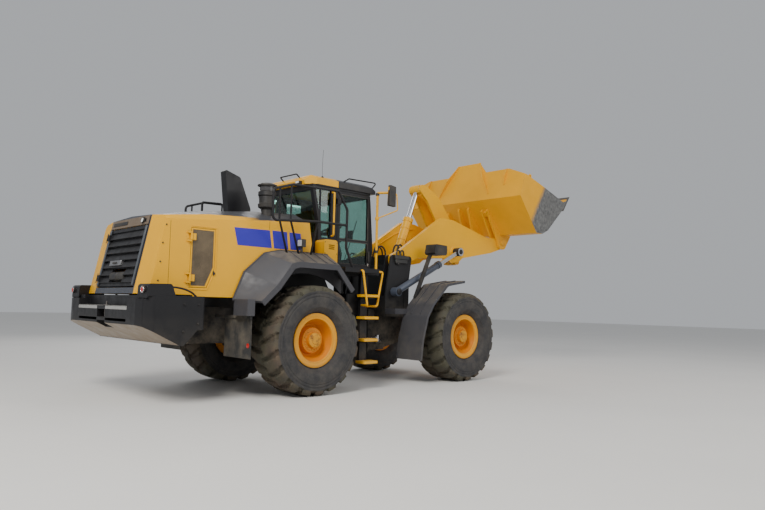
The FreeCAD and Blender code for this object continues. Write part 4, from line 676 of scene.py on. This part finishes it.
hoodPieces = [
    {"name": "hoodFasteners", "size": 11,
     "bolts": [(x, 1051, z) for x, z in ((-4054, 2380), (-4094, 2135), (-4117, 1885), (-4136, 1636))]},
    {"name": "hoodStripes", "finish": "stripeBlue",
     "plates": [([(-3040, 2447), (-2978, 2196), (-2394, 2196), (-2440, 2458)], 1049.5, 1052),
                ([(-2395, 2462), (-2355, 2196), (-2095, 2196), (-2130, 2462)], 1049.5, 1052),
                ([(-2085, 2462), (-2052, 2200), (-1830, 2200), (-1872, 2462)], 1049.5, 1052)]},
    {"name": "meshPanel", "finish": "perforated", "body": "mesh_door_{side}",
     "plates": [([(-3674, 1587), (-3470, 1587), (-3358, 1845), (-3358, 2354), (-3674, 2354)], 1048, 1051.5)]},
    # pressed border around the door, open on its hinged side and at the latch
    {"name": "meshBorder", "finish": "bodyYellow", "bevel": 0.003,
     "plates": [([(-3690, 1530), (-3427, 1530), (-3345, 1715), (-3362, 1715), (-3437, 1546), (-3690, 1546)],
                 1048, 1056),
                ([(-3300, 1815), (-3300, 2410), (-3690, 2410), (-3690, 2394), (-3316, 2394), (-3316, 1815)],
                 1048, 1056)]},
    {"name": "meshLatch", "body": "mesh_door_{side}", "bevel": 0.003,
     "boxes": [(-3350, -3338, 1048, 1062, 1735, 1800), (-3344, -3320, 1056, 1066, 1752, 1782)]},
    {"name": "hoodSeams", "finish": "darkSeamAndShade",
     "boxes": [(-3999, -3995, 1049.5, 1051.2, 1470, 2440), (-2448, -2444, 1049.5, 1051.2, 2470, 2590)]}]
tailLamps = [
    {"name": "tailRing", "finish": "chrome", "steps": 36,
     "turned": [((-4424.5, 1254, 1509), (-1, 0, 0), [(-2, 44), (6, 44), (8, 38), (2, 34)])]},
    {"name": "tailLens", "finish": "lensRed",
     "turned": [((-4424.5, 1254, 1509), (-1, 0, 0), [(0, 35), (7, 30), (9, 0)])]}]

makePieces(rearPieces)
makePieces(hoodPieces, bothSides=True)
makePieces(tailLamps, bothSides=True)
print("rear end dressed")


# Air precleaner: smoked bowl and domed cap

precleanerPieces = [
    {"name": "precleanerBowl", "finish": "smokedBowl", "steps": 48,
     "turned": [((-2300, -730, 3060), zAxis, [(30, 100), (30, 118), (130, 118), (130, 100)])]},
    {"name": "precleanerCap", "steps": 48,
     "turned": [((-2300, -730, 3180), zAxis,
                 [(0, 100), (0, 147), (8, 153), (22, 149), (44, 105), (54, 50), (56, 0)])]}]

makePieces(precleanerPieces)
print("precleaner capped")


# Counterweight: pale ledge, tow pin, bolts and a short rail on each side

counterPieces = [
    {"name": "ledgeStrip", "finish": "ledgeGrey", "bevel": 0.003,
     "boxes": [(-4453, x, s * 150, s * 868, z, 1297) for x, z in ((-4330, 1289), (-4449, 1246))
               for s in (-1, 1)]},
    {"name": "towPin", "finish": "wornSteel", "steps": 28,
     "turned": [((-4375, 0, 1288), zAxis, [(-196, 0), (-196, 27), (2, 27), (2, 46), (14, 46), (18, 40),
                                               (18, 12), (60, 12), (66, 6), (66, 0)])]},
    {"name": "counterBolts", "finish": "charcoalPaint", "axis": zAxis, "size": 20,
     "bolts": [(-4396, s * y, 1393) for s in (-1, 1) for y in (1110, 1240)]}]
counterSideBolts = {
    "name": "counterSideBolts", "finish": "charcoalPaint", "size": 17,
    "bolts": [(x, 1350.5, z) for x, z in ((-3900, 980), (-3900, 1330), (-3700, 1080), (-3700, 1330))]}
counterRail = {
    "name": "counterRail", "finish": "charcoalPaint", "radius": 13,
    "tubes": [[(-4066, 1300, 1547), (-3994, 1300, 1547), (-3790, 1300, 1492), (-3715, 1300, 1436)]]}

makePieces(counterPieces)
makePieces([counterSideBolts], bothSides=True)
makePieces([counterRail], bothSides=True)
print("counterweight dressed")


# Cab

def sealRows(x0, x1, wide, windows):
    # dark rubber around each window of the door
    rows = []
    for z0, z1 in windows:
        rows += [(x0, x1 + wide, 799, 802.5, low, low + wide) for low in (z0 - wide, z1)]
        rows += [(x, x + wide, 799, 802.5, z0, z1) for x in (x0, x1)]
    return rows


doorPieces = [
    {"name": "roofVisor", "bevel": 0.002,
     "plates": [([(-940, 3352), (-180, 3352), (-180, 3396), (-235, 3440), (-940, 3452)], 819.5, 825)]},
    {"name": "roofTrim", "bevel": 0.003,
     "plates": [([(-1400, 3338), (-950, 3338), (-950, 3356), (-1400, 3356)], 799, 821)]},
    {"name": "doorHandle", "body": "cab_door_{side}", "corner": 4, "bevel": 0.005,
     "boxes": [(-228, -200, 799, 826, 2140, 2160), (-228, -200, 799, 826, 2290, 2310),
               (-228, -200, 820, 836, 2130, 2320)]},
    {"name": "doorLock", "finish": "chrome", "body": "cab_door_{side}", "corner": 6, "bevel": 0.004,
     "boxes": [(-224, -200, 799, 806, 2060, 2110)]},
    {"name": "doorSeals", "finish": "darkRubber", "body": "cab_door_{side}", "bevel": 0.001,
     "boxes": sealRows(-879, -240, 9, ((2081, 2455), (2505, 3246)))}]
cabPieces = [
    {"name": "wiper", "radius": 7,
     "tubes": [[(-128, -60, 2180), (-100, -80, 2300), (-122, -250, 2600), (-160, -420, 2900)]]},
    {"name": "aerial", "radius": 3.0,
     "tubes": [[(-1235, -745, 3492), (-1240, -745, 3700), (-1228, -745, 3960)]]},
    {"name": "aerialFoot", "steps": 20,
     "turned": [((-1235, -745, 3480), zAxis, [(0, 0), (0, 26), (14, 22), (34, 9), (40, 0)])]},
    # inside: box behind the seat, screen on its arm and the levers on the armrests
    {"name": "rearConsole", "finish": "cabTrim", "corner": 20, "bevel": 0.015,
     "boxes": [(-1262, -1070, -345, 345, 2034, 2330), (-1262, -1110, -300, 300, 2330, 2420)]},
    {"name": "screen", "bevel": 0.005,
     "boxes": [(-252, -228, -400, -220, 2560, 2720), (-256, -250, -390, -230, 2572, 2708)]},
    {"name": "screenArm", "radius": 14,
     "tubes": [[(-330, -70, 2480), (-300, -160, 2540), (-242, -290, 2620)]]},
    {"name": "levers", "radius": 12,
     "tubes": [[(-600, s * 298, 2630), (-590, s * 298, 2700), (-575, s * 300, 2760)] for s in (-1, 1)]}]
mirrorPieces = [
    {"name": "mirrorGlass", "finish": "chrome", "bevel": 0.001,
     "plates": [([(-28, 3150), (66, 3146), (70, 3468), (-16, 3480)], 1083, 1086)]},
    {"name": "mirrorShell", "bevel": 0.006,
     "plates": [([(-43, 3130), (109, 3121), (114, 3480), (-24, 3500)], 1085, 1152)]},
    {"name": "mastClamps", "steps": 24,
     "turned": [((-102, 900, z), zAxis, [(0, 20), (0, 33), (44, 33), (44, 20)])
                for z in (2300, 2888, 3320)]},
    {"name": "rearLenses", "finish": "lampGlass", "bevel": 0.003,
     "boxes": [(-1605, -1599, 498, 582, 3366, 3399), (-1930, -1924, 1060, 1160, 2262, 2358)]}]

makePieces(doorPieces, bothSides=True)
makePieces(cabPieces)
makePieces(mirrorPieces, bothSides=True)
print("cab dressed")


# Seat

padSetup = {"rows": 10, "pull": 0.035, "channels": (0.3, 0.5, 0.7), "sink": 9.0, "channelHalf": 0.04}
seatSetup = {
    "cushion": {"corners": [(-905, -250, 2420), (-425, -250, 2432), (-425, 250, 2432), (-905, 250, 2420)],
                "depth": 95, "crown": 34, "rows": 20},
    "back": {"corners": [(-865, -240, 2420), (-865, 240, 2420), (-962, 225, 2990), (-962, -225, 2990)],
             "depth": 70, "crown": 32, "rows": 20},
    "head": {"corners": [(-950, -135, 3000), (-950, 135, 3000), (-972, 125, 3180), (-972, -125, 3180)],
             "depth": 60, "crown": 22, "rows": 16},
    "arm": {"middle": 298, "half": 42, "rear": (-890, 2628), "front": (-545, 2640),
            "depth": 44, "crown": 8, "rows": 12}}
armRest = (([(-935, 2480), (-880, 2480), (-860, 2600), (-900, 2600)], 236, 300),
           ([(-900, 2578), (-560, 2592), (-560, 2602), (-900, 2600)], 264, 332))
seatFrame = {
    "name": "seatFrame", "bevel": 0.01,
    "plates": [([(-935, 2310), (-905, 2330), (-1008, 2990), (-1040, 2985)], -238, 238),
               ([(-930, 2300), (-430, 2300), (-430, 2334), (-930, 2334)], -238, 238),
               ([(-1036, 2960), (-1004, 2960), (-1010, 3120), (-1034, 3120)], -60, 60)]
    + [(corners, sign * y0, sign * y1) for side, sign in sides for corners, y0, y1 in armRest]}
seatFoot = {
    "name": "seatFoot", "finish": "darkRubber",
    "turned": [((-690, 0, 2035.3), zAxis, [(0, 0), (0, 198), (14, 200), (86, 196)]),
               ((-690, 0, 2121), zAxis, [(0, 118), (20, 132), (36, 112), (56, 132), (74, 112), (94, 132),
                                             (116, 118), (122, 0)])]}


def crownedPad(name, corners, depth, crown, rows):
    # padded panel on a four-cornered face: sides pulled in, a raised middle and three sewn channels
    a, b, c, d = (Vector(p) for p in corners)
    normal = (b - a).cross(d - a).normalized()
    centre = (a + b + c + d) / 4
    shape = bmesh.new()

    def padGrid(back):
        grid = []
        for i in range(rows + 1):
            line = []
            for j in range(rows + 1):
                u, v = i / rows, j / rows
                pull = padSetup["pull"] * (sin(pi * u) * (2 * v - 1) ** 2 + sin(pi * v) * (2 * u - 1) ** 2)
                place = a.lerp(b, u).lerp(d.lerp(c, u), v)
                place = place + (centre - place) * pull
                rise = crown * (1 - (2 * u - 1) ** 4) * (1 - (2 * v - 1) ** 4)
                channel = min(abs(u - k) for k in padSetup["channels"]) / padSetup["channelHalf"]
                rise -= padSetup["sink"] * max(0.0, 1 - channel) * (1 - (2 * v - 1) ** 6)
                place = place + normal * (-depth if back else rise)
                line.append(shape.verts.new(spot(*place)))
            grid.append(line)
        return grid

    top, low = padGrid(False), padGrid(True)
    for i in range(rows):
        for j in range(rows):
            shape.faces.new((top[i][j], top[i + 1][j], top[i + 1][j + 1], top[i][j + 1]))
            shape.faces.new((low[i][j], low[i][j + 1], low[i + 1][j + 1], low[i + 1][j]))
    for k in range(rows):
        for (i, j), (m, n) in (((k, 0), (k + 1, 0)), ((k + 1, rows), (k, rows)), ((0, k + 1), (0, k)),
                               ((rows, k), (rows, k + 1))):
            shape.faces.new((top[i][j], low[i][j], low[m][n], top[m][n]))
    piece = meshPiece(name, shape, "seatCloth", "rear", 60)
    soft = piece.modifiers.new("softened", "SUBSURF")
    soft.levels = soft.render_levels = 2
    return piece


def makeSeat(setup):
    cushion = crownedPad("seatCushion", **setup["cushion"])
    back = crownedPad("seatBack", **setup["back"])
    head = crownedPad("seatHead", **setup["head"])
    arm = setup["arm"]
    (x0, z0), (x1, z1) = arm["rear"], arm["front"]
    for side, sign in sides:
        low, high = sign * arm["middle"] - arm["half"], sign * arm["middle"] + arm["half"]
        corners = [(x0, low, z0), (x1, low, z1), (x1, high, z1), (x0, high, z0)]
        rest = crownedPad(f"armPad.{side}", corners, arm["depth"], arm["crown"], arm["rows"])
    shell = makePiece(seatFrame)
    makePiece(seatFoot)
    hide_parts("seat")


makeSeat(seatSetup)
print("seat made")


# Side boxes, fenders, steps and arches

ribSetup = {"places": (-2085, -1830, -1620, -1460), "half": 16, "high": (1090, 2165),
            "low": (1428, 2001), "thick": 13}
studSetup = {"steps": (430, 790, 1150, 1510), "tread": 42, "x": -748, "y": 1210, "stepX": 42, "stepY": 38,
             "rowsX": 7, "rowsY": 5, "profile": [(-0.5, 0), (-0.5, 8), (3, 6), (3, 0)]}


def ribCorners(x, setup):
    # corners of one rib across the fender's sloping top
    (y0, z0), (y1, z1), half = setup["high"], setup["low"], setup["half"]
    return [(x - half, y0, z0), (x + half, y0, z0), (x + half, y1, z1), (x - half, y1, z1)]


sidePieces = [
    # near-black plates at the bottom of the side box's slots: painted shade in the recesses
    {"name": "sideBoxSlots", "finish": "darkSeamAndShade", "slot": "black_plastic",
     "boxes": [(-1290, -1170, 1019, 1021, z, z + 14) for z in (2270, 2300, 2330)]},
    {"name": "sideBoxBolts", "size": 8,
     "bolts": [(x, 1040.3, z) for x in (-1368, -1122) for z in (2020, 2200, 2380)]},
    {"name": "fenderRibs", "finish": "fenderPaint", "bevel": 0.004,
     "slabs": [(ribCorners(x, ribSetup), (0, 0, ribSetup["thick"])) for x in ribSetup["places"]]},
    {"name": "tankCap", "steps": 24,
     "turned": [((-820, 800, 1560.3), zAxis, [(0, 0), (0, 62), (26, 62), (32, 54), (32, 0)])]},
    # grip studs on the steps
    {"name": "stepStuds", "finish": "bodyYellow", "steps": 8, "smooth": 40,
     "turned": [((studSetup["x"] + i * studSetup["stepX"], studSetup["y"] + j * studSetup["stepY"],
                  z + studSetup["tread"]), zAxis, studSetup["profile"])
                for z in studSetup["steps"] for i in range(studSetup["rowsX"])
                for j in range(studSetup["rowsY"])]}]
archPieces = [
    {"name": "flapReflector", "finish": "lensRed", "slot": "rubber",
     "turned": [((-2914.5, 1322, 774), (-1, 0, 0), [(0, 34), (5, 34), (7, 30), (7, 0)])]},
    # dark inner walls of the wheel arches
    {"name": "innerArch", "finish": "frameBlack", "bevel": 0.004,
     "plates": [([(-2560, 1441), (-2250, 1901), (-1100, 1901), (-930, 1600), (-930, 1290), (-2560, 1290)],
                 640, 652)]}]

makePieces(sidePieces, bothSides=True)
makePieces(archPieces, bothSides=True)
print("sides dressed")


# Front frame

pinBolts = {"centre": (700, 2230), "circle": 66, "turns": (0.5, 2.6, 4.7)}


def valveRun(y, end):
    # hose that arches from the valve block over to the front frame's cross plate
    mid = (y + end) / 2
    return [(930, y, 2210), (975, y, 2300), (990, mid, 2460), (1060, mid, 2570), (1150, end, 2540),
            (1205, end, 2380), (1190, end, 1950), (1130, end, 1550), (1100, end, 1294)]


towerPieces = [
    # pin plates on the tower and the lift cylinder eyes
    {"name": "towerPin", "finish": "frameBlack", "steps": 36,
     "turned": [((700, 646, 2230), yAxis, [(0, 86), (16, 86), (20, 78), (20, 52), (12, 46), (12, 0)])]},
    {"name": "towerPinBolts", "finish": "wornSteel", "size": 11,
     "bolts": [(pinBolts["centre"][0] + pinBolts["circle"] * cos(a), 665,
                pinBolts["centre"][1] + pinBolts["circle"] * sin(a)) for a in pinBolts["turns"]]},
    {"name": "liftPin", "finish": "frameBlack", "body": "front",
     "turned": [((600, 801, 1640), yAxis, [(-8, 0), (-8, 58), (8, 58), (12, 50), (12, 0)])]},
    {"name": "headlampRims", "finish": "chrome", "steps": 36,
     "turned": [((1638, y, 2475), xAxis, [(-2, 66), (4, 66), (8, 60), (5, 52)]) for y in (870, 990)]},
    {"name": "headlampGlass", "finish": "lampGlass", "body": "front",
     "turned": [((1638.3, y, 2475), xAxis, [(0, 56), (4, 44), (7, 0)]) for y in (870, 990)]}]
valvePieces = [
    {"name": "valveHoses", "finish": "darkRubber", "radius": 17,
     "tubes": [valveRun(y, end) for y, end in ((-360, -300), (-240, -212), (240, 212), (360, 300))]},
    {"name": "valveFittings", "finish": "wornSteel", "steps": 6,
     "turned": [((928, y, 2210), xAxis, [(0, 0), (0, 30), (14, 30), (14, 22), (34, 22), (34, 0)])
                for y in (-360, -240, -120, 120, 240, 360)]},
    {"name": "valveBolts", "finish": "wornSteel", "axis": zAxis, "size": 12,
     "bolts": [(x, y, 2270.5) for x in (590, 870) for y in (-420, -20, 20, 420)]}]
# junction block and hoses on the outside of each tower plate
junctionPieces = [
    {"name": "towerBlock", "finish": "castIron", "bevel": 0.006,
     "boxes": [(590, 960, 636, 690, 2255, 2322), (620, 930, 636, 676, 2180, 2256)]},
    {"name": "towerHoses", "finish": "darkRubber", "radius": 15,
     "tubes": [[(x, 664, 2310), (x + 10, 664, 2390), (x + 70, 655, 2420), (x + 120, 640, 2360),
                (x + 130, 630, 2300)] for x in (640, 740)]}]

makePieces(towerPieces, "front", bothSides=True)
makePieces(valvePieces, "front")
makePieces(junctionPieces, "front", bothSides=True)
print("front dressed")


# Boom and cylinders

tiltLine = {"foot": (1200, 0, 2080), "eye": (1887, 0, 3819), "way": (687, 0, 1739), "bands": (0.18, 0.36, 0.5)}

armPieces = [
    {"name": "boomBosses", "finish": "boomYellow", "steps": 40,
     "turned": [((2380, 600, 2510), yAxis, [(-1, 0), (-1, 118), (10, 118), (14, 112), (14, 86)])]},
    {"name": "boomPipe", "finish": "boomYellow", "radius": 11,
     "tubes": [[(1260, 508, 2628), (1900, 508, 2960), (2300, 508, 3060)]]},
    {"name": "boomClamps", "finish": "boomYellow", "bevel": 0.003,
     "boxes": [(x - 18, x + 18, 495, 516, z - 26, z + 26) for x, z in ((1300, 2650), (1900, 2958))]},
    {"name": "bucketPins", "finish": "bucketYellow", "body": "bucket", "steps": 36,
     "turned": [((3990, 664, 2840), yAxis,
                 [(0, 0), (0, 62), (6, 62), (12, 54), (12, 22), (20, 18), (20, 0)])]}]
crankPieces = [
    {"name": "crankPins", "finish": "boomYellow", "steps": 36,
     "turned": [((2680, s * 216.5, 3040), (0, s, 0), [(0, 0), (0, 70), (8, 70), (14, 62), (14, 0)])
                for s in (-1, 1)]},
    {"name": "tiltBands", "finish": "boomYellow", "body": "tilt_barrel", "steps": 40,
     "turned": [(tuple(a + (b - a) * t for a, b in zip(tiltLine["foot"], tiltLine["eye"])), tiltLine["way"],
                 [(0, 92), (2, 103), (26, 103), (28, 92)]) for t in tiltLine["bands"]]},
    {"name": "tiltPipe", "finish": "boomYellow", "body": "tilt_barrel", "radius": 13,
     "tubes": [[(1262, -98, 2236), (1310, -99, 2358), (1440, -99, 2689), (1537, -98, 2933)]]},
    {"name": "tiltEyeCover", "finish": "boomYellow", "body": "tilt_rod", "steps": 40,
     "turned": [((1887, -114, 3819), yAxis, [(0, 60), (0, 97), (228, 97), (228, 60)])]}]
liftEyeCover = {
    "name": "liftEyeCover", "finish": "frameBlack", "body": "lift_rod_{side}", "steps": 40,
    "turned": [((2380, 642.9, 2510), yAxis, [(0, 40), (0, 87), (150, 87), (150, 52), (158, 48), (158, 0)])]}

makePieces(armPieces, "boom", bothSides=True)
makePieces(crankPieces, "boom")
makePieces([liftEyeCover], bothSides=True)
print("boom dressed")


# Bucket: lifting eyes, and bolts along the cutting edge

liftEye = {
    "name": "liftEye", "finish": "bucketYellow", "body": "bucket", "steps": 28,
    "turned": [((3700, 1556, 4192), yAxis, [(0, 42), (0, 16), (24, 16), (24, 42), (0, 42)])]}
cuttingEdge = {"corner": (4994, 0, 3633), "forward": (0.672, 0, 0.740), "down": (0.740, 0, -0.672),
             "ahead": 70, "below": 42, "bolts": 14, "half": 1500}
boltLine = (Vector(cuttingEdge["corner"]) + Vector(cuttingEdge["forward"]) * cuttingEdge["ahead"]
            + Vector(cuttingEdge["down"]) * cuttingEdge["below"])
boltStep = 2 * cuttingEdge["half"] / (cuttingEdge["bolts"] - 1)
edgeBolts = {
    "name": "edgeBolts", "finish": "wornSteel", "body": "bucket", "axis": cuttingEdge["down"], "size": 16,
    "bolts": [(boltLine.x, i * boltStep - cuttingEdge["half"], boltLine.z) for i in range(cuttingEdge["bolts"])]}

makePieces([liftEye], bothSides=True)
makePiece(edgeBolts)
print("bucket dressed")


# Floor and light

studio = {"floor": 60.0, "tone": (0.74, 0.73, 0.71), "sky": (0.90, 0.93, 0.97), "skyStrength": 0.5}
lamps = {
    "keyLight": {"place": (-12.0, -7.0, 11.0), "aim": (0, 0, 1.5),
                 "light": {"size": 5.0, "energy": 2000.0, "color": (1.0, 0.97, 0.91)}},
    "frontLight": {"place": (5.0, -14.0, 9.0), "aim": (0, 0, 1.5),
                   "light": {"size": 8.0, "energy": 750.0, "color": (1.0, 0.98, 0.95)}},
    "farLight": {"place": (4.0, 12.0, 9.0), "aim": (1, 0, 2),
                 "light": {"size": 8.0, "energy": 500.0, "color": (1.0, 0.98, 0.95)}}}


def makeStudio(setup):
    shape = bmesh.new()
    bmesh.ops.create_grid(shape, x_segments=8, y_segments=8, size=setup["floor"])
    data = bpy.data.meshes.new("studioFloor")
    shape.to_mesh(data)
    shape.free()
    ground = Shader("studioGround", Roughness=0.9)
    grain = ground.spread(ground.noise(0.6, 3.0), 0.3, 0.7)
    data.materials.append(ground.finish(ground.mix(grain, darker(setup["tone"], 0.97), setup["tone"])))
    plane = addObject("studioFloor", data)
    world = bpy.data.worlds.new("studioSky")
    world.use_nodes = True
    world.node_tree.nodes["Background"].inputs["Color"].default_value = (*setup["sky"], 1.0)
    world.node_tree.nodes["Background"].inputs["Strength"].default_value = setup["skyStrength"]
    bpy.context.scene.world = world


def makeLamp(name, setup):
    lamp = addObject(name, assign(bpy.data.lights.new(name, "AREA"), shape="SQUARE", **setup["light"]))
    lamp.location = Vector(setup["place"])
    lamp.rotation_euler = (Vector(setup["aim"]) - lamp.location).to_track_quat("-Z", "Y").to_euler()


makeStudio(studio)
for name, setup in lamps.items():
    makeLamp(name, setup)
print("studio made")
